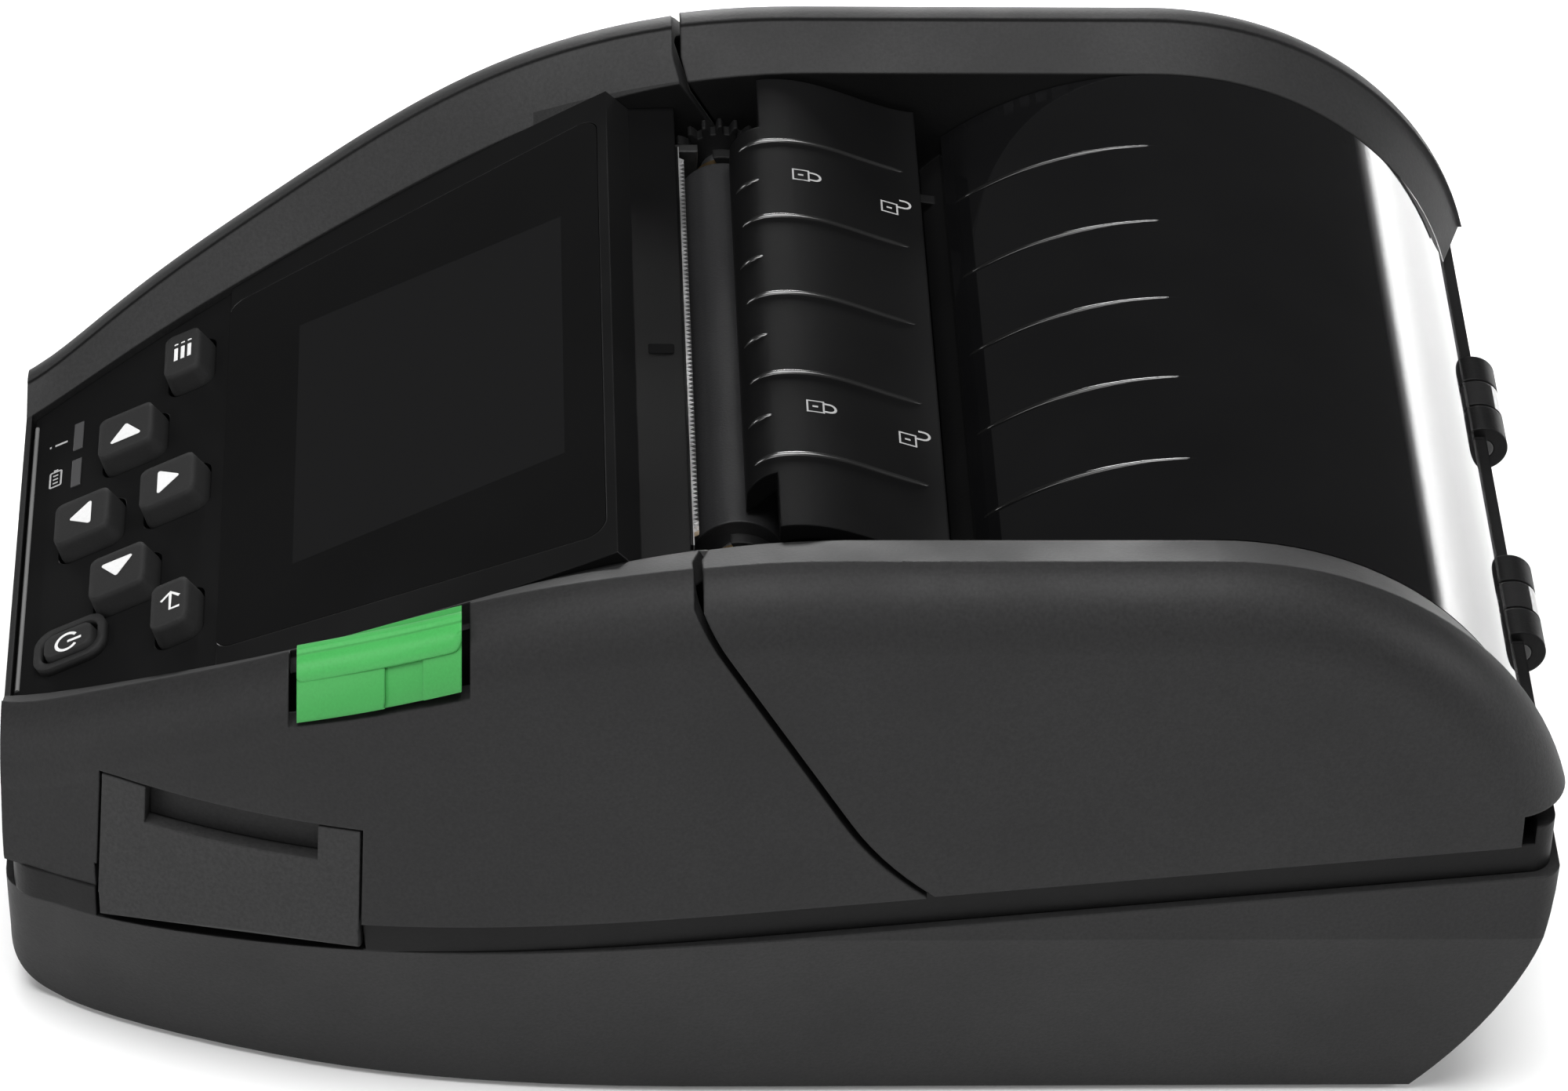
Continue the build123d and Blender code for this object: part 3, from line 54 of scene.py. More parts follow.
# Camera of the photograph: direction in degrees, distance and focal length
VIEW_AZIMUTH = 86.631
VIEW_ELEVATION = 38.945
VIEW_ROLL = 2.128
VIEW_TARGET = Vector((0.0, 1.547, 33.0)) * MM
VIEW_DISTANCE = 709.956 * MM
FILM_WIDTH = 36.0                   # of the camera, in millimetres
FOCAL_PIXELS = 8838.4

# Heights from which surfaces are looked for, clear of the whole printer
ABOVE_ALL = 100.0
BELOW_ALL = -50.0

# Modelling
SHARP_EDGE = math.radians(50.0)     # edges that bend more than this are rounded
MERGE_DISTANCE = 0.00001            # metres

# Keypad and display plane
PANEL_TILT = math.radians(27.64)
PANEL_START = (-55.5, 42.54)        # Y, Z of the display glass's front edge
PANEL_UP = Vector((0.0, math.cos(PANEL_TILT), math.sin(PANEL_TILT)))
PANEL_OUT = Vector((0.0, -math.sin(PANEL_TILT), math.cos(PANEL_TILT)))
KEYPAD_OUT = -0.5                   # keypad surface, from the glass surface
KEY_OUT = 1.8
POWER_OUT = 0.7
SCREEN_HALF = 19.45                 # picture area behind the glass
SCREEN_Y = (-48.13, -21.37)

# Painted highlight along the keypad's front edge, as a light grey bead
KEYPAD_END_Y = -75.7
KEYPAD_EDGE_HALF = 25.5
KEYPAD_EDGE_RADIUS = 0.24

# Inner parts seen through the opening, with painted shade on them
INNER_X = 38.75                     # painted shade on the inner parts lies inside this
LID_SHADE_START_Y = -30.0                 # and from here to the rear
HOUSING_SHADE_START_Y = -24.0               # painted shade on the housing starts here, on the ledge behind the display
BEZEL_SHADE_Y = -14.2               # the bezel has painted shade behind this
TOOTH_TIP_Y = -9.1                  # and the tear bar bright
REAR_BAR_Y = 66.0                   # front of the glossy bar under the window
PAST_REAR_Y = 90.0                  # behind the whole printer

# Small sensor window in the ledge
LEDGE_SENSOR_PLACE = Vector((3.0, -11.6, 60.6)) * MM
LEDGE_SENSOR_HIGH = 0.06

# Ribs of window and flap; the fades are shares of their length, at front and rear
RIB_PITCH = 12.95
RIB_RADIUS = 0.33
RIB_SINK = 0.1
RIB_END_SHARE = 0.25                # of its radius, which a rib keeps at its ends
FLAP_RIB_Y = (-3.6, 14.6)
FLAP_RIB_FADE = (0.08, 0.12)
SHORT_RIB_Y = (-3.6, -0.4)
SHORT_RIB_FADE = (0.3, 0.6)
SHORT_RIB_SINK = 0.15
WINDOW_RIB_Y = (18.9, 44.0)
WINDOW_RIB_FADE = (0.1, 0.7)
WINDOW_RIB_RADIUS = 0.31
WINDOW_RIB_SINK = 0.07

# Latch: its ridge lies on the shoulder, between two places
LATCH_LEAN = math.radians(25.0)
LATCH_OUT = Vector((math.cos(LATCH_LEAN), 0.0, math.sin(LATCH_LEAN)))
LATCH_UP = Vector((-math.sin(LATCH_LEAN), 0.0, math.cos(LATCH_LEAN)))
LATCH_ENDS = ((40.7, -47.2, 51.04), (45.5, -31.4, 59.22))
LATCH_CLEAR = 10.0                  # out of the latch, clear of it
LIP_STEPS = 12
LIP_END_SHARES = [0.012, 0.03, 0.055, 0.945, 0.97, 0.988]
LIP_OUTLINE = (                     # out of the latch, and up it
    (-0.4, 2.0), (0.3, 1.75), (0.5, 1.3), (0.42, 1.1), (0.95, 0.85), (1.3, 0.3),
    (1.45, -0.4), (1.45, -1.0), (1.3, -1.4), (1.05, -1.55), (-0.4, -1.6),
)
LIP_CORNER = 1.0                    # rounding of its lower corners
LIP_CORNER_TOP = -0.3               # they lie below this height
LATCH_GROOVES = (-38.7, -35.1)      # Y of the edges of the middle field
PAD_OVERRUN = 2.0                   # of the outer cuts, past the latch's ends
PAD_TOP = -0.3                      # from the ridge
PAD_RISE = 0.28                     # to the right
PAD_LIFT = 0.12                     # and upwards

# Signs on the keypad: across, and down the slope from the glass
ICON_HIGH = 0.035
ARROW_KEYS = (                      # key, across, down, quarter turns of the arrow
    ("left", -11.0, 10.8, 0),
    ("up", -0.1, 5.5, 3),
    ("down", 0.0, 15.5, 1),
    ("right", 10.9, 10.9, 2),
)
MENU_PLACE = (-21.0, 4.5)
RETURN_PLACE = (19.9, 4.5)
POWER_PLACE = (18.1, 16.9)
MARK_PLACE = (-17.0, 20.6)
BATTERY_PLACE = (-11.4, 20.4)
ARROW_CORNERS = ((-1.95, -1.15), (1.95, -1.15), (0.0, 1.45))
ARROW_ROUNDING = 0.22

# Padlocks on the flap: X and Y of the left and the right one
CLOSED_PLACES = ((-20.2, 3.7), (18.2, 3.7))
OPEN_PLACES = ((-19.4, 12.8), (18.9, 12.8))

# Marks under the battery cover, from its middle
GRIP_OFFSETS = (-6.0, -4.0, -2.0, 0.0)
GRIP_HALF = 9.0
GRIP_RADIUS = 0.45
SLIDE_ARROW_OFFSET = 7.0
SLIDE_ARROW_SCALE = 1.6
SLIDE_ARROW_HIGH = 0.15

# Directions
LEFT = Vector((-1.0, 0.0, 0.0))
REARWARD = Vector((0.0, 1.0, 0.0))

# Colours and sheens that several finishes share
CASING_COLOUR = (0.0125, 0.0125, 0.0127)
CASING_ROUGH = 0.56
CASING_GLOSS = 0.17
PANEL_COLOUR = (0.0042, 0.0042, 0.0043)
PANEL_ROUGH = 0.34
PANEL_GLOSS = 0.2
RIB_COLOUR = (0.006, 0.006, 0.006)
GROUND_ALONG_X = (0.08, 1.0, 1.0)   # stretch of a ground grain

# Stage, in metres, with the lamps' power in watts and their cone in degrees
FLOOR_SIZE = 6.0
FLOOR_COLOUR = (0.88, 0.88, 0.88, 1.0)
FLOOR_ROUGH = 0.7
STUDIO_COLOUR = (1.0, 1.0, 1.0, 1.0)
STUDIO_STRENGTH = 0.05
PRINTER_MIDDLE = (0.0, 0.0, 0.03)
WIDE = 180.0
LAMPS = (                           # name, place, size, power, target and cone
    ("top_lamp", (0.12, -0.1, 1.2), (0.9, 0.9), 22.0, PRINTER_MIDDLE, WIDE),
    ("near_lamp", (1.15, -0.25, 0.55), (0.7, 0.5), 4.5, PRINTER_MIDDLE, WIDE),
    ("rear_lamp", (0.35, 1.15, 0.55), (0.6, 0.4), 8.0, PRINTER_MIDDLE, WIDE),
    ("front_lamp", (0.3, -1.15, 0.5), (0.6, 0.4), 5.0, PRINTER_MIDDLE, WIDE),
    ("far_lamp", (-1.25, 0.0, 0.2), (0.3, 0.25), 6.0, PRINTER_MIDDLE, WIDE),
    ("floor_lamp", (-0.38, 0.33, 0.8), (0.4, 0.4), 3.6, (-0.381, 0.33, 0.0), 50.0),
)


# Building blocks of the finishes

def new_material(name):
    """A material with its node tree and its shader."""
    material = bpy.data.materials.new(name)
    material.use_nodes = True
    return material, material.node_tree, shader_of(material)


def shader_of(material):
    return material.node_tree.nodes["Principled BSDF"]


def object_coordinates(tree, stretch=(1.0, 1.0, 1.0)):
    source = tree.nodes.new("ShaderNodeTexCoord")
    mapping = tree.nodes.new("ShaderNodeMapping")
    mapping.inputs["Scale"].default_value = stretch
    tree.links.new(source.outputs["Object"], mapping.inputs["Vector"])
    return mapping.outputs["Vector"]


def noise(tree, vector, scale, detail, roughness=0.55):
    node = tree.nodes.new("ShaderNodeTexNoise")
    node.inputs["Scale"].default_value = scale
    node.inputs["Detail"].default_value = detail
    node.inputs["Roughness"].default_value = roughness
    tree.links.new(vector, node.inputs["Vector"])
    return node.outputs["Fac"]


def spread(tree, value, low, high, from_low=0.35, from_high=0.65):
    """Maps a texture value to a range."""
    node = tree.nodes.new("ShaderNodeMapRange")
    node.inputs["From Min"].default_value = from_low
    node.inputs["From Max"].default_value = from_high
    node.inputs["To Min"].default_value = low
    node.inputs["To Max"].default_value = high
    tree.links.new(value, node.inputs["Value"])
    return node.outputs["Result"]


def mix_colour(tree, factor, first, second):
    """Mixes two colours; each is three numbers or another node's output."""
    node = tree.nodes.new("ShaderNodeMix")
    node.data_type = "RGBA"
    for socket, colour in (("A", first), ("B", second)):
        if isinstance(colour, tuple):
            node.inputs[socket].default_value = (*colour, 1.0)
        else:
            tree.links.new(colour, node.inputs[socket])
    tree.links.new(factor, node.inputs["Factor"])
    return node.outputs["Result"]


def arithmetic(tree, kind, first, second):
    """One sum on two values; each is a number or another node's output."""
    node = tree.nodes.new("ShaderNodeMath")
    node.operation = kind
    for index, value in enumerate((first, second)):
        if isinstance(value, float):
            node.inputs[index].default_value = value
        else:
            tree.links.new(value, node.inputs[index])
    return node.outputs["Value"]


def place_axis(tree, axis):
    """Object coordinate along one axis, in metres."""
    source = tree.nodes.new("ShaderNodeTexCoord")
    split = tree.nodes.new("ShaderNodeSeparateXYZ")
    tree.links.new(source.outputs["Object"], split.inputs["Vector"])
    return split.outputs[axis]


def inside(tree, axis, low, high):
    """1 where a coordinate lies between two places, given in millimetres."""
    value = place_axis(tree, axis)
    above = arithmetic(tree, "GREATER_THAN", value, low * MM)
    below = arithmetic(tree, "LESS_THAN", value, high * MM)
    return arithmetic(tree, "MULTIPLY", above, below)


def field(tree, half, start, end):
    """1 inside a rectangle seen from above, as far to the left as to the right."""
    return arithmetic(tree, "MULTIPLY", inside(tree, "X", -half, half),
                      inside(tree, "Y", start, end))


def recolour(material, area, colour):
    """Gives a material another colour where area is 1."""
    tree = material.node_tree
    base = shader_of(material).inputs["Base Color"]
    tint = mix_colour(tree, area, base.links[0].from_socket, colour)
    tree.links.new(tint, base)
    return material


def bump(tree, shader, height, strength, distance, below=None):
    """Relief from a texture value, over another relief or rounded edges where given."""
    node = tree.nodes.new("ShaderNodeBump")
    node.inputs["Strength"].default_value = strength
    node.inputs["Distance"].default_value = distance
    tree.links.new(height, node.inputs["Height"])
    if below is not None:
        tree.links.new(below, node.inputs["Normal"])
    tree.links.new(node.outputs["Normal"], shader.inputs["Normal"])
    return node.outputs["Normal"]


def soft_edges(tree, radius):
    """Normals rounded over the sharp edges of moulded pieces, or None at radius 0."""
    if not radius:
        return None
    node = tree.nodes.new("ShaderNodeBevel")
    node.samples = 6
    node.inputs["Radius"].default_value = radius * MM
    return node.outputs["Normal"]


def grained_plastic(name, colour, rough, grain=2600.0, depth=0.00004, strength=0.5,
                    shade=0.8, specular=0.25, edge=0.3):
    """Moulded plastic with a spark-eroded grain, slight mottling and uneven sheen.

    The grain's depth is in metres, and shade says how dark its pits are."""
    material, tree, shader = new_material(name)
    vector = object_coordinates(tree)
    fine = noise(tree, vector, grain, 2.0, 0.6)
    broad = noise(tree, vector, 55.0, 4.0, 0.5)
    darker = tuple(c * shade for c in colour)
    lighter = tuple(c * (2.0 - shade) for c in colour)
    grained = mix_colour(tree, spread(tree, fine, 0.0, 1.0, 0.3, 0.7), darker, lighter)
    worn = tuple(c * 1.12 for c in colour)
    tint = mix_colour(tree, spread(tree, broad, 0.0, 0.35, 0.45, 0.75), grained, worn)
    tree.links.new(tint, shader.inputs["Base Color"])
    tree.links.new(spread(tree, broad, rough - 0.05, rough + 0.06), shader.inputs["Roughness"])
    shader.inputs["Specular IOR Level"].default_value = specular
    swell = bump(tree, shader, broad, 0.06, 0.0002, soft_edges(tree, edge))
    bump(tree, shader, fine, strength, depth, swell)
    return material


def glossy_plastic(name, colour, rough, haze=0.03, specular=0.5, edge=0.2):
    """Polished plastic with faint moulding swell and wiped haze."""
    material, tree, shader = new_material(name)
    broad = noise(tree, object_coordinates(tree), 45.0, 3.0)
    wipe = noise(tree, object_coordinates(tree, (1.0, 0.12, 1.0)), 900.0, 3.0)
    darker = tuple(c * 0.85 for c in colour)
    tree.links.new(mix_colour(tree, spread(tree, broad, 0.0, 1.0), darker, colour),
                   shader.inputs["Base Color"])
    tree.links.new(spread(tree, broad, rough - haze, rough + haze), shader.inputs["Roughness"])
    shader.inputs["Specular IOR Level"].default_value = specular
    bump(tree, shader, wipe, 0.03, 0.00002, soft_edges(tree, edge))
    return material


def metal(name, colour, rough=0.3, stretch=(1.0, 1.0, 1.0)):
    """Metal with a drawn or ground grain along one direction."""
    material, tree, shader = new_material(name)
    lines = noise(tree, object_coordinates(tree, stretch), 2200.0, 4.0, 0.6)
    broad = noise(tree, object_coordinates(tree), 120.0, 3.0)
    shader.inputs["Metallic"].default_value = 1.0
    darker = tuple(c * 0.82 for c in colour)
    tree.links.new(mix_colour(tree, spread(tree, lines, 0.0, 1.0), darker, colour),
                   shader.inputs["Base Color"])
    tree.links.new(spread(tree, broad, rough - 0.06, rough + 0.08),
                   shader.inputs["Roughness"])
    bump(tree, shader, lines, 0.15, 0.00002)
    return material


# Finishes of single pieces

def print_ink(name, grey, rough, shade, specular):
    """Ink of the printed signs, with a very fine tooth."""
    return grained_plastic(name, (grey, grey, grey), rough, grain=3000.0, depth=0.00001,
                           strength=0.2, shade=shade, specular=specular, edge=0.0)


def latch_plastic(name, colour, rough):
    """Green plastic of the latch, with a fine even grain."""
    return grained_plastic(name, colour, rough, grain=3800.0, depth=0.00002, strength=0.35,
                           shade=0.94)


def casing_plastic(name, colour=CASING_COLOUR):
    """Grained plastic of the outer casings."""
    return grained_plastic(name, colour, CASING_ROUGH, specular=CASING_GLOSS)


def panel_plastic(name):
    """Black gloss round display and keys."""
    return glossy_plastic(name, PANEL_COLOUR, PANEL_ROUGH, specular=PANEL_GLOSS)


def window_smoke():
    """Smoked clear plastic with faint moulding haze."""
    material, tree, shader = new_material("window_smoke")
    shader.inputs["IOR"].default_value = 1.75
    shader.inputs["Transmission Weight"].default_value = 0.8
    broad = noise(tree, object_coordinates(tree), 40.0, 3.0)
    tint = mix_colour(tree, spread(tree, broad, 0.0, 1.0), (0.012, 0.012, 0.013),
                      (0.016, 0.016, 0.017))
    tree.links.new(tint, shader.inputs["Base Color"])
    tree.links.new(spread(tree, broad, 0.03, 0.06), shader.inputs["Roughness"])
    return material


def display_cover():
    """Black glass with the dark grey picture area behind it."""
    material = glossy_plastic("display_cover", (0.0038, 0.0038, 0.0039), 0.1, haze=0.02,
                              specular=0.4, edge=0.0)
    area = field(material.node_tree, SCREEN_HALF, *SCREEN_Y)
    return recolour(material, area, (0.0062, 0.0062, 0.0064))


def part_with_painted_shade(name, start, end):
    """Casing grain outside, and painted shade, near black, on the inner parts between the rails
    and between two places along Y.
    """
    material = casing_plastic(name)
    painted_shade = field(material.node_tree, INNER_X, start, end)
    # near-black colour: painted shade inside the opening
    return recolour(material, painted_shade, (0.0022, 0.0022, 0.0023))


def lid_plastic():
    """Lid rails with painted shade on the inner parts between them, and a glossy bar under the
    window's rear edge.
    """
    material = part_with_painted_shade("lid_grain", LID_SHADE_START_Y, PAST_REAR_Y)
    tree = material.node_tree
    shader = shader_of(material)
    bar = field(tree, INNER_X, REAR_BAR_Y, PAST_REAR_Y)
    tree.links.new(bar, shader.inputs["Coat Weight"])
    shader.inputs["Coat Roughness"].default_value = 0.06
    shader.inputs["Coat IOR"].default_value = 1.8
    return material


def bezel_black():
    """Black gloss, with painted shade on the recessed ledge over the tear bar."""
    material = panel_plastic("bezel_black")
    ledge = inside(material.node_tree, "Y", BEZEL_SHADE_Y, 0.0)
    # near-black colour on the ledge: painted shade
    return recolour(material, ledge, (0.0009, 0.0009, 0.001))


def tear_plate():
    """Blackened steel, ground bright along the teeth."""
    material = metal("tear_plate", (0.035, 0.035, 0.036), 0.35, GROUND_ALONG_X)
    tree = material.node_tree
    tips = arithmetic(tree, "GREATER_THAN", place_axis(tree, "Y"), TOOTH_TIP_Y * MM)
    return recolour(material, tips, (0.8, 0.8, 0.8))


def board_green():
    """Green board with darker tracks under its lacquer."""
    material, tree, shader = new_material("board_lacquer")
    tracks = noise(tree, object_coordinates(tree, (1.0, 0.15, 1.0)), 700.0, 1.0)
    tint = mix_colour(tree, spread(tree, tracks, 0.0, 1.0, 0.47, 0.53), (0.006, 0.06, 0.024),
                      (0.012, 0.10, 0.04))
    tree.links.new(tint, shader.inputs["Base Color"])
    shader.inputs["Roughness"].default_value = 0.32
    bump(tree, shader, tracks, 0.2, 0.00003)
    return material


casing_grain = casing_plastic("casing_grain")
chassis_matt = grained_plastic("chassis_matt", (0.0035, 0.0035, 0.0036), 0.5, specular=0.12)
panel_black = panel_plastic("panel_black")
flap_black = grained_plastic("flap_black", (0.002, 0.002, 0.0021), 0.46, grain=4500.0,
                             depth=0.00002, strength=0.3, shade=0.9, specular=0.09)
rib_bright = glossy_plastic("rib_gloss", RIB_COLOUR, 0.22, haze=0.02, specular=1.0, edge=0.0)
window_rib = glossy_plastic("window_rib", RIB_COLOUR, 0.14, haze=0.02, specular=0.6, edge=0.0)
# light grey colour: painted highlight on the keypad's front edge
edge_painted_highlight = glossy_plastic("keypad_edge_painted_highlight", (0.16, 0.16, 0.16), 0.15, haze=0.02,
                             specular=1.0, edge=0.0)
key_soft = grained_plastic("key_soft", (0.0115, 0.0115, 0.0116), 0.66, grain=4500.0,
                           depth=0.00002, strength=0.4, shade=0.85, specular=0.2, edge=1.0)
print_white = print_ink("icon_white", grey=0.56, rough=0.5, shade=0.96, specular=0.3)
print_dim = print_ink("icon_dim", grey=0.26, rough=0.55, shade=0.94, specular=0.2)
print_grey = print_ink("icon_grey", grey=0.28, rough=0.5, shade=0.94, specular=0.4)
# latch green on the ridge, and a darker copy of it on the button and pads: painted shade below
# the ridge
latch_bright = latch_plastic("latch_green", (0.042, 0.27, 0.062), 0.4)
latch_field_painted_shade = latch_plastic("latch_field_painted_shade", (0.034, 0.225, 0.05), 0.5)
gear_dark = grained_plastic("gear_black", (0.012, 0.012, 0.012), 0.4, grain=1500.0,
                            depth=0.00002)
works_steel = metal("works_steel", (0.55, 0.55, 0.56))

FINISHES = {
    "casing_plastic": casing_grain,
    "dark_plastic": chassis_matt,
    "black_gloss": panel_black,
    "key_rubber": key_soft,
    "display_glass": display_cover(),
    "lcd": glossy_plastic("picture_area", (0.01, 0.01, 0.011), 0.2),
    "board": board_green(),
    "led_lens": glossy_plastic("lens_grey", (0.05, 0.05, 0.051), 0.3),
    # the latch button in the darker green: painted shade
    "latch_green": latch_field_painted_shade,
    "hook_steel": works_steel,
    "tear_steel": tear_plate(),
    "heatsink": metal("sink_aluminium", (0.6, 0.6, 0.61), 0.4, GROUND_ALONG_X),
    "head_ceramic": glossy_plastic("head_glaze", (0.20, 0.18, 0.15), 0.2),
    "platen_rubber": grained_plastic("platen_rubber", (0.011, 0.011, 0.0115), 0.4,
                                     grain=4000.0),
    "gear_plastic": gear_dark,
    "bearing": metal("bearing_bronze", (0.20, 0.14, 0.07), 0.4),
    "window": window_smoke(),
    "motor_can": metal("motor_zinc", (0.45, 0.45, 0.46), 0.42),
    "jack_plastic": glossy_plastic("jack_black", (0.012, 0.012, 0.012), 0.3),
    "battery_case": grained_plastic("battery_grey", (0.022, 0.022, 0.024), 0.5),
    "foot_rubber": grained_plastic("foot_rubber", (0.014, 0.014, 0.014), 0.8, grain=1800.0),
}
OWN_FINISHES = {
    "lid_frame": lid_plastic(),
    "front_housing": part_with_painted_shade("housing_grain", HOUSING_SHADE_START_Y, PAST_REAR_Y),
    "port_door": casing_plastic("door_grain", (0.02, 0.02, 0.0202)),
    "platen_gear": chassis_matt,
    "display_bezel": bezel_black(),
    "door_pin_front": chassis_matt,
    "door_pin_rear": chassis_matt,
    "print_frame": gear_dark,
    "peel_flap": flap_black,
    "hinge_pin_left": FINISHES["jack_plastic"],
    "hinge_pin_right": FINISHES["jack_plastic"],
}


def dress_solids():
    """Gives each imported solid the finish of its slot, or its own."""
    for part in frame["record"]["subparts"]:
        node = part["node"]
        finish = OWN_FINISHES.get(node, FINISHES[part["material_slot"]])
        nodes[node].data.materials.clear()
        nodes[node].data.materials.append(finish)


# Modelling

def start_piece():
    """Leaves nothing selected, with Blender in object mode."""
    if bpy.context.object and bpy.context.object.mode != "OBJECT":
        bpy.ops.object.mode_set(mode="OBJECT")
    bpy.ops.object.select_all(action="DESELECT")


def take(piece):
    """Selects one piece alone and makes it the active one."""
    start_piece()
    piece.select_set(True)
    bpy.context.view_layer.objects.active = piece


def place_in_scene(name, data):
    """Object that holds a new mesh or curve, taken up for work."""
    piece = bpy.data.objects.new(name, data)
    bpy.context.scene.collection.objects.link(piece)
    take(piece)
    return piece


def settle(piece, name, material, body, smooth=35.0):
    """Names, dresses and seats a finished piece."""
    take(piece)
    bpy.ops.object.transform_apply(location=True, rotation=True, scale=True)
    bpy.ops.object.mode_set(mode="EDIT")
    bpy.ops.mesh.select_all(action="SELECT")
    bpy.ops.mesh.normals_make_consistent(inside=False)
    bpy.ops.object.mode_set(mode="OBJECT")
    bpy.ops.object.shade_smooth_by_angle(angle=math.radians(smooth))
    piece.name = name
    piece.data.name = name
    piece.data.materials.clear()
    piece.data.materials.append(material)
    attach(piece, body)


def surface_of(node):
    """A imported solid's surface, to look for places on."""
    mesh = nodes[node].data
    return BVHTree.FromPolygons([v.co for v in mesh.vertices],
                                [p.vertices for p in mesh.polygons])


def seen_from(surface, place, direction):
    """Where a line from a place, in millimetres, first meets a surface."""
    hit = surface.ray_cast(Vector(place) * MM, Vector(direction))[0]
    return hit / MM if hit else None


def seen_from_above(surface, x, y):
    return seen_from(surface, (x, y, ABOVE_ALL), (0, 0, -1))


def seen_from_below(surface, x, y):
    return seen_from(surface, (x, y, BELOW_ALL), (0, 0, 1))


def line_across(surface, look, half, y, steps):
    """Places on a surface from left to right at one Y, looked for from above or below."""
    places = [look(surface, -half + 2.0 * half * i / steps, y) for i in range(steps + 1)]
    return [place for place in places if place is not None]


def new_curve(name, radius, resolution):
    """Empty round curve, its radius in metres."""
    curve = bpy.data.curves.new(name, "CURVE")
    curve.dimensions = "3D"
    curve.bevel_depth = radius
    curve.bevel_resolution = resolution
    curve.use_fill_caps = True
    return curve


def mesh_from_curve(name, curve):
    place_in_scene(name, curve)
    bpy.ops.object.convert(target="MESH")
    return bpy.context.object


def stroke_mesh(strokes, wide):
    """Flattened bead along each run of points, about the origin, in the XY plane."""
    curve = new_curve("strokes", wide / 2 * MM, 2)
    for points, closed in strokes:
        line = curve.splines.new("POLY")
        line.points.add(len(points) - 1)
        line.use_cyclic_u = closed
        for point, (u, v) in zip(line.points, points):
            point.co = (u * MM, v * MM, 0.0, 1.0)
    piece = mesh_from_curve("strokes", curve)
    piece.scale = (1.0, 1.0, 2.0 * ICON_HIGH / wide)
    bpy.ops.object.transform_apply(location=False, rotation=False, scale=True)
    return piece


def bead(name, path, sizes, material, body):
    """Round bead along a path in millimetres, with its radius at each point."""
    curve = new_curve(name, MM, 4)
    line = curve.splines.new("POLY")
    line.points.add(len(path) - 1)
    for point, place, size in zip(line.points, path, sizes):
        point.co = (*(Vector(place) * MM), 1.0)
        point.radius = size
    settle(mesh_from_curve(name, curve), name, material, body, smooth=60.0)


def start_outline(count):
    """Flat face with a number of corners, which are then put in their places."""
    start_piece()
    bpy.ops.mesh.primitive_circle_add(vertices=count, radius=MM, fill_type="NGON")
    return bpy.context.object


def plate_mesh(outline, high):
    """Thin plate with the given outline, with a flat inset ring on its top."""
    piece = start_outline(len(outline))
    for vertex, (u, v) in zip(piece.data.vertices, outline):
        vertex.co = (u * MM, v * MM, -high * MM)
    bpy.ops.object.mode_set(mode="EDIT")
    bpy.ops.mesh.select_all(action="SELECT")
    bpy.ops.mesh.extrude_region_move(TRANSFORM_OT_translate={"value": (0, 0, 2 * high * MM)})
    bpy.ops.mesh.inset(thickness=high / 2 * MM, depth=0.0)
    bpy.ops.object.mode_set(mode="OBJECT")
    return piece


def round_edges(piece, width, segments):
    """Rounds the sharp edges of the active piece, by a width in millimetres."""
    rounding = piece.modifiers.new("rounding", "BEVEL")
    rounding.width = width * MM
    rounding.segments = segments
    rounding.limit_method = "ANGLE"
    rounding.angle_limit = SHARP_EDGE
    bpy.ops.object.modifier_apply(modifier=rounding.name)


def arc(centre, radius, start, end, steps):
    """Points on an arc between two directions in degrees."""
    points = []
    for i in range(steps + 1):
        turn = math.radians(start + (end - start) * i / steps)
        points.append((centre[0] + radius * math.cos(turn),
                       centre[1] + radius * math.sin(turn)))
    return points


def rounded(corners, radius, steps=4):
    """Polygon whose corners are rounded, from its sharp corners."""
    points = []
    count = len(corners)
    for i, corner in enumerate(corners):
        here = Vector(corner)
        before = (Vector(corners[i - 1]) - here).normalized()
        after = (Vector(corners[(i + 1) % count]) - here).normalized()
        half = before.angle(after) / 2
        reach = radius / math.tan(half)
        middle = here + (before + after).normalized() * radius / math.sin(half)
        first = here + before * reach - middle
        last = here + after * reach - middle
        for k in range(steps + 1):
            share = k / steps
            spoke = (first * (1 - share) + last * share).normalized() * radius
            points.append(tuple(middle + spoke))
    return points


def arrow_outline(quarter_turns, scale=1.0):
    """Rounded triangle to the left, front, right or rear, by its quarter turns."""
    points = rounded(ARROW_CORNERS, ARROW_ROUNDING)
    for _ in range(quarter_turns):
        points = [(-v, u) for u, v in points]
    return [(u * scale, v * scale) for u, v in points]


def lay_flat(piece, right, up, place):
    """Turns a flat piece so that its X and Y run along two directions, at a place."""
    right = right.normalized()
    out = right.cross(up).normalized()
    up = out.cross(right)
    turn = Matrix((right, up, out)).transposed().to_4x4()
    piece.matrix_world = Matrix.Translation(place) @ turn


def drape(piece, surface, x, y):
    """Lays a flat piece on a surface seen from above: its X runs to the rear, its Y left."""
    for vertex in piece.data.vertices:
        place = Vector((x * MM - vertex.co.y, y * MM + vertex.co.x, 0.0))
        hit = seen_from_above(surface, place.x / MM, place.y / MM)
        vertex.co = Vector((place.x, place.y, hit.z * MM + vertex.co.z))


# Signs, drawn in millimetres with +U up the slope or to the rear and +V to the user's left

def panel_sign(piece, name, place, out, body, material=print_white):
    """Seats a sign on the keypad or a key: place is across and down, out is proud of it."""
    x, down = place
    middle = (Vector((x, PANEL_START[0], PANEL_START[1]))
              - PANEL_UP * down + PANEL_OUT * out) * MM
    lay_flat(piece, PANEL_UP, LEFT, middle)
    settle(piece, name, material, body)


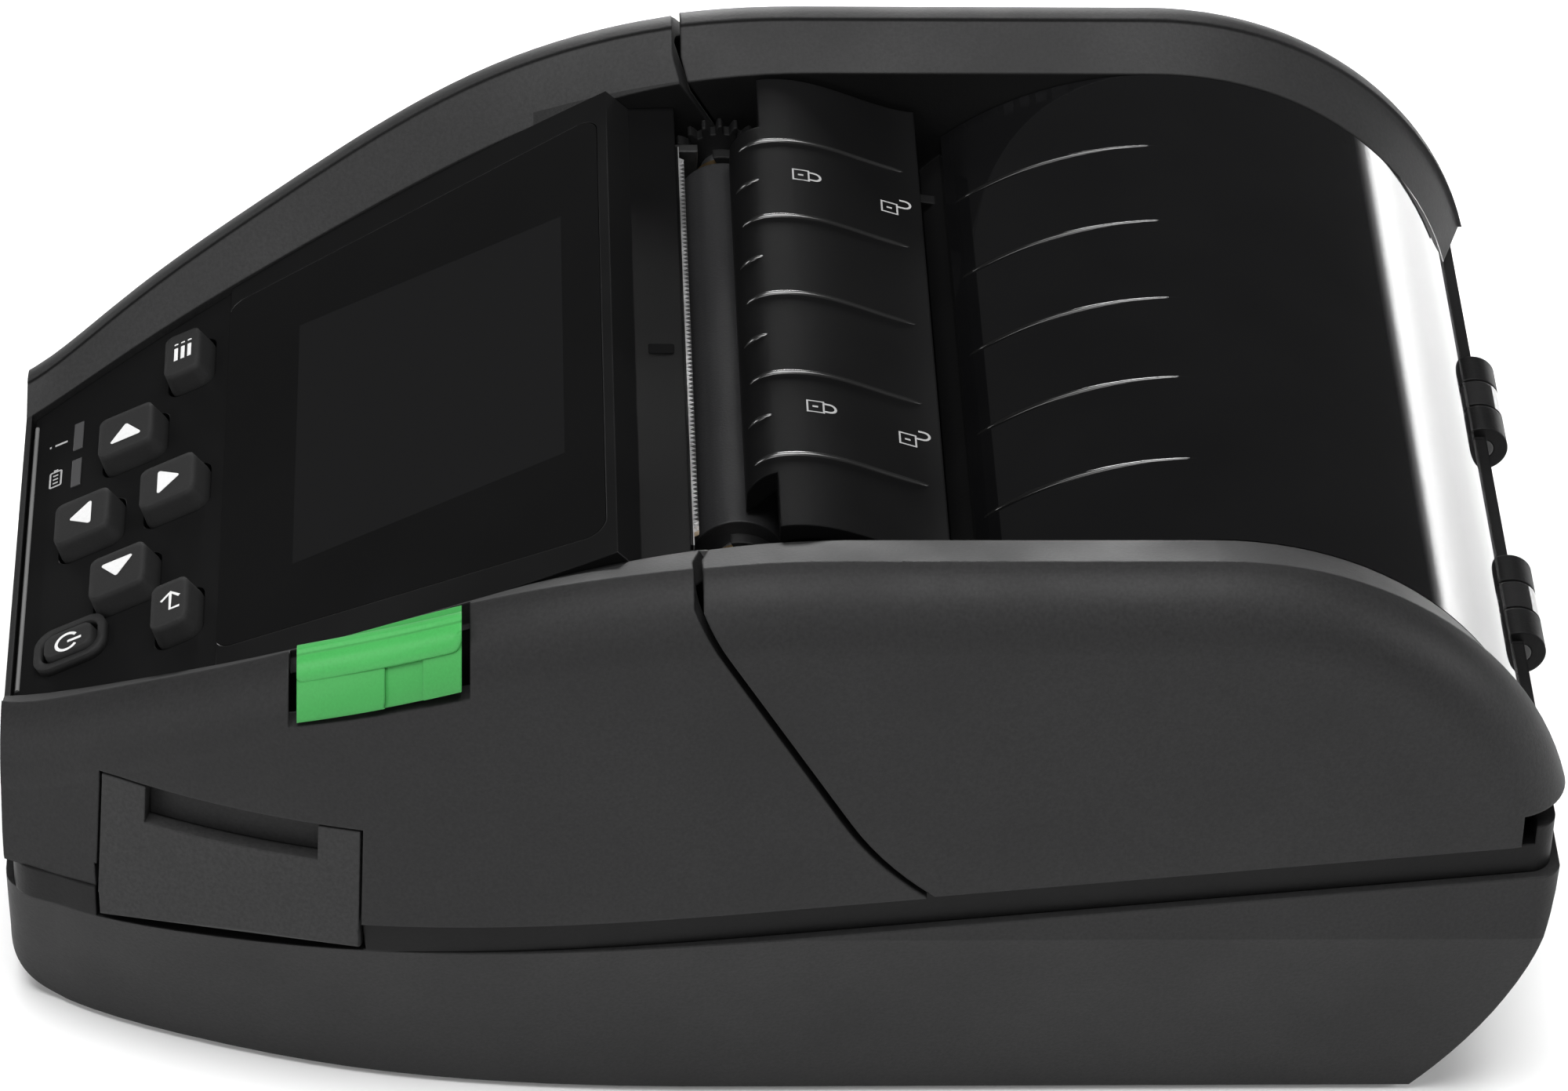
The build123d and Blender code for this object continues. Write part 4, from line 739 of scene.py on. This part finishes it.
def make_key_icons():
    """Arrows, menu bars, return arrow and power sign on the key caps."""
    for key, x, down, turns in ARROW_KEYS:
        arrow = plate_mesh(arrow_outline(turns), ICON_HIGH)
        panel_sign(arrow, f"icon_{key}", (x, down), KEY_OUT, f"key_{key}_body")
    bars = []
    for u in (-0.78, 0.0, 0.78):
        bars.append(([(u, -1.4), (u, 0.65)], False))
        bars.append(([(u, 1.2), (u, 1.4)], False))
    panel_sign(stroke_mesh(bars, wide=0.44), "icon_menu", MENU_PLACE, KEY_OUT,
               "key_menu_body")
    back = [([(1.15, -1.25), (0.05, -1.25), (0.05, 1.25)], False),
            ([(-1.0, 0.35), (0.05, 1.35), (1.1, 0.35)], False)]
    panel_sign(stroke_mesh(back, wide=0.34), "icon_return", RETURN_PLACE, KEY_OUT,
               "key_return_body")
    power = [(arc((0.0, 0.0), 1.2, 35.0, 325.0, 22), False), ([(0.1, 0.0), (1.65, 0.0)], False)]
    panel_sign(stroke_mesh(power, wide=0.36), "icon_power", POWER_PLACE, POWER_OUT,
               "key_power_body")


def make_status_icons():
    """A mark and a battery beside the two light bars."""
    mark = [([(-0.75, 0.0), (-0.55, 0.0)], False), ([(-0.1, 0.0), (1.35, 0.0)], False)]
    panel_sign(stroke_mesh(mark, wide=0.3), "icon_mark", MARK_PLACE, KEYPAD_OUT,
               "casing", print_grey)
    cell = [(rounded([(-0.65, -1.3), (0.65, -1.3), (0.65, 1.1), (-0.65, 1.1)], 0.15, 2), True),
            ([(-0.25, 1.35), (0.25, 1.35)], False)]
    for v in (-0.7, -0.1, 0.5):
        cell.append(([(-0.3, v), (0.3, v)], False))
    panel_sign(stroke_mesh(cell, wide=0.22), "icon_battery", BATTERY_PLACE, KEYPAD_OUT,
               "casing", print_grey)


def make_padlocks(flap):
    """Closed and open padlocks on the flap, at its two gripping places."""
    body = [(-1.45, -0.85), (0.15, -0.85), (0.15, 0.85), (-1.45, 0.85)]
    slot = ([(-0.95, 0.0), (-0.4, 0.0)], False)
    closed = [(body, True), slot,
              ([(0.15, 0.6)] + arc((0.75, 0.0), 0.6, 90.0, -90.0, 8) + [(0.15, -0.6)], False)]
    low_body = [(u, v - 0.45) for u, v in body]
    low_slot = ([(-0.95, -0.45), (-0.4, -0.45)], False)
    shackle = [(0.15, 0.05), (0.85, 0.05)] + arc((0.95, 0.65), 0.6, -90.0, 90.0, 8)
    opened = [(low_body, True), low_slot, (shackle + [(0.45, 1.25)], False)]
    for name, strokes, places in (("closed", closed, CLOSED_PLACES),
                                  ("open", opened, OPEN_PLACES)):
        for side, (x, y) in zip(("left", "right"), places):
            piece = stroke_mesh(strokes, wide=0.26)
            drape(piece, flap, x, y)
            settle(piece, f"padlock_{name}_{side}", print_dim, "flap")


# Ribs that follow a surface

def rib_line(surface, x, ends, fade, sink=RIB_SINK, radius=RIB_RADIUS, steps=20):
    """Path and radii of a rib across a surface, which thins out over its fades."""
    path = []
    sizes = []
    for i in range(steps + 1):
        share = i / steps
        place = seen_from_above(surface, x, ends[0] + (ends[1] - ends[0]) * share)
        if place is None:
            continue
        thin = min(1.0, share / fade[0], (1.0 - share) / fade[1])
        size = radius * (RIB_END_SHARE + (1.0 - RIB_END_SHARE) * math.sqrt(max(0.0, thin)))
        path.append(place - Vector((0, 0, sink + radius - size)))
        sizes.append(size)
    return path, sizes


def make_ribs(flap, window):
    """Five ribs over flap and window, and four short ones between them on the flap."""
    for i in range(5):
        x = (i - 2) * RIB_PITCH
        path, sizes = rib_line(flap, x, FLAP_RIB_Y, FLAP_RIB_FADE)
        bead(f"flap_rib_{i + 1}", path, sizes, rib_bright, "flap")
        path, sizes = rib_line(window, x, WINDOW_RIB_Y, WINDOW_RIB_FADE, WINDOW_RIB_SINK,
                               WINDOW_RIB_RADIUS, steps=24)
        bead(f"window_rib_{i + 1}", path, sizes, window_rib, "lid")
    for i in range(4):
        path, sizes = rib_line(flap, (i - 1.5) * RIB_PITCH, SHORT_RIB_Y, SHORT_RIB_FADE,
                               SHORT_RIB_SINK, steps=10)
        bead(f"flap_short_rib_{i + 1}", path, sizes, rib_bright, "flap")


# Latch details

def latch_path(surface):
    """Places along the ridge on the latch, closer together at its ends."""
    start, end = (Vector(p) for p in LATCH_ENDS)
    path = []
    shares = [i / LIP_STEPS for i in range(LIP_STEPS + 1)]
    for share in sorted(shares + LIP_END_SHARES):
        guess = start.lerp(end, share)
        place = seen_from(surface, guess + LATCH_OUT * LATCH_CLEAR, -LATCH_OUT)
        if place is not None:
            path.append(place)
    return path


def round_lip_ends(piece, path):
    """Lifts the lower corners of the lip at both its ends."""
    along = (path[-1] - path[0]).normalized()
    length = (path[-1] - path[0]).length
    for vertex in piece.data.vertices:
        run = (vertex.co / MM - path[0]).dot(along)
        near_end = max(0.0, min(run, length - run))
        centre = path[0].lerp(path[-1], min(1.0, max(0.0, run / length)))
        height = (vertex.co / MM - centre).dot(LATCH_UP)
        if near_end < LIP_CORNER and height < LIP_CORNER_TOP:
            lift = LIP_CORNER - math.sqrt(LIP_CORNER ** 2 - (LIP_CORNER - near_end) ** 2)
            vertex.co += LATCH_UP * lift * MM


def make_latch_ridge(path):
    """Rolled lip along the latch: its outline is pushed along the path in steps."""
    piece = start_outline(len(LIP_OUTLINE))
    for vertex, (proud, high) in zip(piece.data.vertices, LIP_OUTLINE):
        vertex.co = (path[0] + LATCH_OUT * proud + LATCH_UP * high) * MM
    bpy.ops.object.mode_set(mode="EDIT")
    bpy.ops.mesh.select_all(action="SELECT")
    for here, there in zip(path, path[1:]):
        bpy.ops.mesh.extrude_region_move(TRANSFORM_OT_translate={"value": (there - here) * MM})
    bpy.ops.object.mode_set(mode="OBJECT")
    round_lip_ends(piece, path)
    round_edges(piece, width=0.12, segments=3)
    settle(piece, "latch_ridge", latch_bright, "latch", smooth=32.0)


def copy_solid(node):
    """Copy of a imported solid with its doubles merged."""
    piece = place_in_scene("copy", nodes[node].data.copy())
    bpy.ops.object.mode_set(mode="EDIT")
    bpy.ops.mesh.select_all(action="SELECT")
    bpy.ops.mesh.remove_doubles(threshold=MERGE_DISTANCE)
    bpy.ops.object.mode_set(mode="OBJECT")
    return piece


def cut_active(place, away):
    """Cuts the active piece with a plane in millimetres and drops its away side."""
    bpy.ops.object.mode_set(mode="EDIT")
    bpy.ops.mesh.select_all(action="SELECT")
    bpy.ops.mesh.bisect(plane_co=Vector(place) * MM, plane_no=away, use_fill=True,
                        clear_outer=True)
    bpy.ops.object.mode_set(mode="OBJECT")


def make_latch_pads(path):
    """Raised fields below the ridge, either side of the recessed middle one."""
    along = (path[-1] - path[0]).normalized()
    over_ridge = along.cross(LEFT)
    upper_cut = (path[0] + path[-1]) / 2 + LATCH_UP * PAD_TOP
    for name, low, high in (("front", LATCH_ENDS[0][1] - PAD_OVERRUN, LATCH_GROOVES[0]),
                            ("rear", LATCH_GROOVES[1], LATCH_ENDS[1][1] + PAD_OVERRUN)):
        pad = copy_solid("latch_button")
        cut_active((0, low, 0), -REARWARD)
        cut_active((0, high, 0), REARWARD)
        cut_active(upper_cut, over_ridge)
        pad.location = (PAD_RISE * MM, 0.0, PAD_LIFT * MM)
        round_edges(pad, width=0.15, segments=2)
        # the pads in the darker green: painted shade below the ridge
        settle(pad, f"latch_pad_{name}", latch_field_painted_shade, "latch", smooth=45.0)


# Small details of panel, ledge and bottom

def make_keypad_edge():
    """Bead where the keypad bends over the front wall, light grey as a painted highlight."""
    path = line_across(surface_of("keypad_panel"), seen_from_above, KEYPAD_EDGE_HALF,
                       KEYPAD_END_Y, 24)
    bead("keypad_edge_painted_highlight", path, [KEYPAD_EDGE_RADIUS] * len(path), edge_painted_highlight, "casing")


def make_ledge_sensor():
    """Small sensor window in the ledge over the tear bar."""
    outline = rounded([(-1.3, -0.75), (1.3, -0.75), (1.3, 0.75), (-1.3, 0.75)], 0.2, 3)
    glass = plate_mesh(outline, LEDGE_SENSOR_HIGH)
    lay_flat(glass, REARWARD, LEFT, LEDGE_SENSOR_PLACE)
    settle(glass, "ledge_sensor", FINISHES["display_glass"], "casing")


def make_cover_marks():
    """Grip bars and a slide arrow under the battery cover."""
    surface = surface_of("battery_cover")
    low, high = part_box("battery_cover")
    middle = (low[1] + high[1]) / 2 / MM
    for i, offset in enumerate(GRIP_OFFSETS):
        path = line_across(surface, seen_from_below, GRIP_HALF, middle + offset, 8)
        bead(f"cover_grip_{i + 1}", path, [GRIP_RADIUS] * len(path), casing_grain, "casing")
    arrow = plate_mesh(arrow_outline(3, SLIDE_ARROW_SCALE), SLIDE_ARROW_HIGH)
    place = seen_from_below(surface, 0.0, middle + SLIDE_ARROW_OFFSET)
    lay_flat(arrow, REARWARD, -LEFT, place * MM)
    settle(arrow, "cover_arrow", casing_grain, "casing")


# Stage

def make_camera():
    """Camera of the photograph, looking at the printer with a slight roll."""
    turn = math.radians(VIEW_AZIMUTH)
    rise = math.radians(VIEW_ELEVATION)
    roll = math.radians(VIEW_ROLL)
    back = Vector((math.sin(turn) * math.cos(rise), -math.cos(turn) * math.cos(rise),
                   math.sin(rise)))
    right = (-back).cross(Vector((0.0, 0.0, 1.0))).normalized()
    above = right.cross(-back)
    rolled_right = right * math.cos(roll) + above * math.sin(roll)
    rolled_above = above * math.cos(roll) - right * math.sin(roll)
    data = bpy.data.cameras.new("photo_view")
    data.sensor_width = FILM_WIDTH
    data.sensor_fit = "HORIZONTAL"
    data.lens = FOCAL_PIXELS / IMAGE_SIZE[0] * FILM_WIDTH
    data.clip_start = 0.01
    camera = bpy.data.objects.new("photo_view", data)
    rotation = Matrix((rolled_right, rolled_above, back)).transposed()
    camera.matrix_world = (Matrix.Translation(VIEW_TARGET + back * VIEW_DISTANCE)
                           @ rotation.to_4x4())
    bpy.context.scene.collection.objects.link(camera)
    bpy.context.scene.camera = camera


def make_lamp(name, place, size, power, target, cone):
    """Soft rectangular lamp that looks from its place to a target."""
    data = bpy.data.lights.new(name, "AREA")
    data.shape = "RECTANGLE"
    data.size, data.size_y = size
    data.energy = power
    data.spread = math.radians(cone)
    place = Vector(place)
    forward = (Vector(target) - place).normalized()
    right = forward.cross(Vector((0.0, 0.0, 1.0))).normalized()
    above = right.cross(forward)
    rotation = Matrix((right, above, -forward)).transposed()
    lamp = bpy.data.objects.new(name, data)
    lamp.matrix_world = Matrix.Translation(place) @ rotation.to_4x4()
    bpy.context.scene.collection.objects.link(lamp)


def make_stage():
    """Pale floor, dim even studio light and the lamps."""
    start_piece()
    bpy.ops.mesh.primitive_plane_add(size=FLOOR_SIZE, location=(0.0, 0.0, 0.0))
    floor = bpy.context.object
    floor.name = "floor"
    material, _, shader = new_material("floor_pale")
    shader.inputs["Base Color"].default_value = FLOOR_COLOUR
    shader.inputs["Roughness"].default_value = FLOOR_ROUGH
    floor.data.materials.append(material)
    world = bpy.data.worlds.new("studio")
    bpy.context.scene.world = world
    world.use_nodes = True
    background = world.node_tree.nodes["Background"]
    background.inputs["Color"].default_value = STUDIO_COLOUR
    background.inputs["Strength"].default_value = STUDIO_STRENGTH
    for lamp in LAMPS:
        make_lamp(*lamp)
    bpy.context.scene.view_settings.view_transform = "Standard"


dress_solids()
flap_surface = surface_of("peel_flap")
lip_path = latch_path(surface_of("latch_button"))
make_key_icons()
make_status_icons()
make_padlocks(flap_surface)
make_ribs(flap_surface, surface_of("lid_window"))
make_latch_ridge(lip_path)
make_latch_pads(lip_path)
make_keypad_edge()
make_ledge_sensor()
make_cover_marks()
make_camera()
make_stage()

bpy.context.view_layer.update()
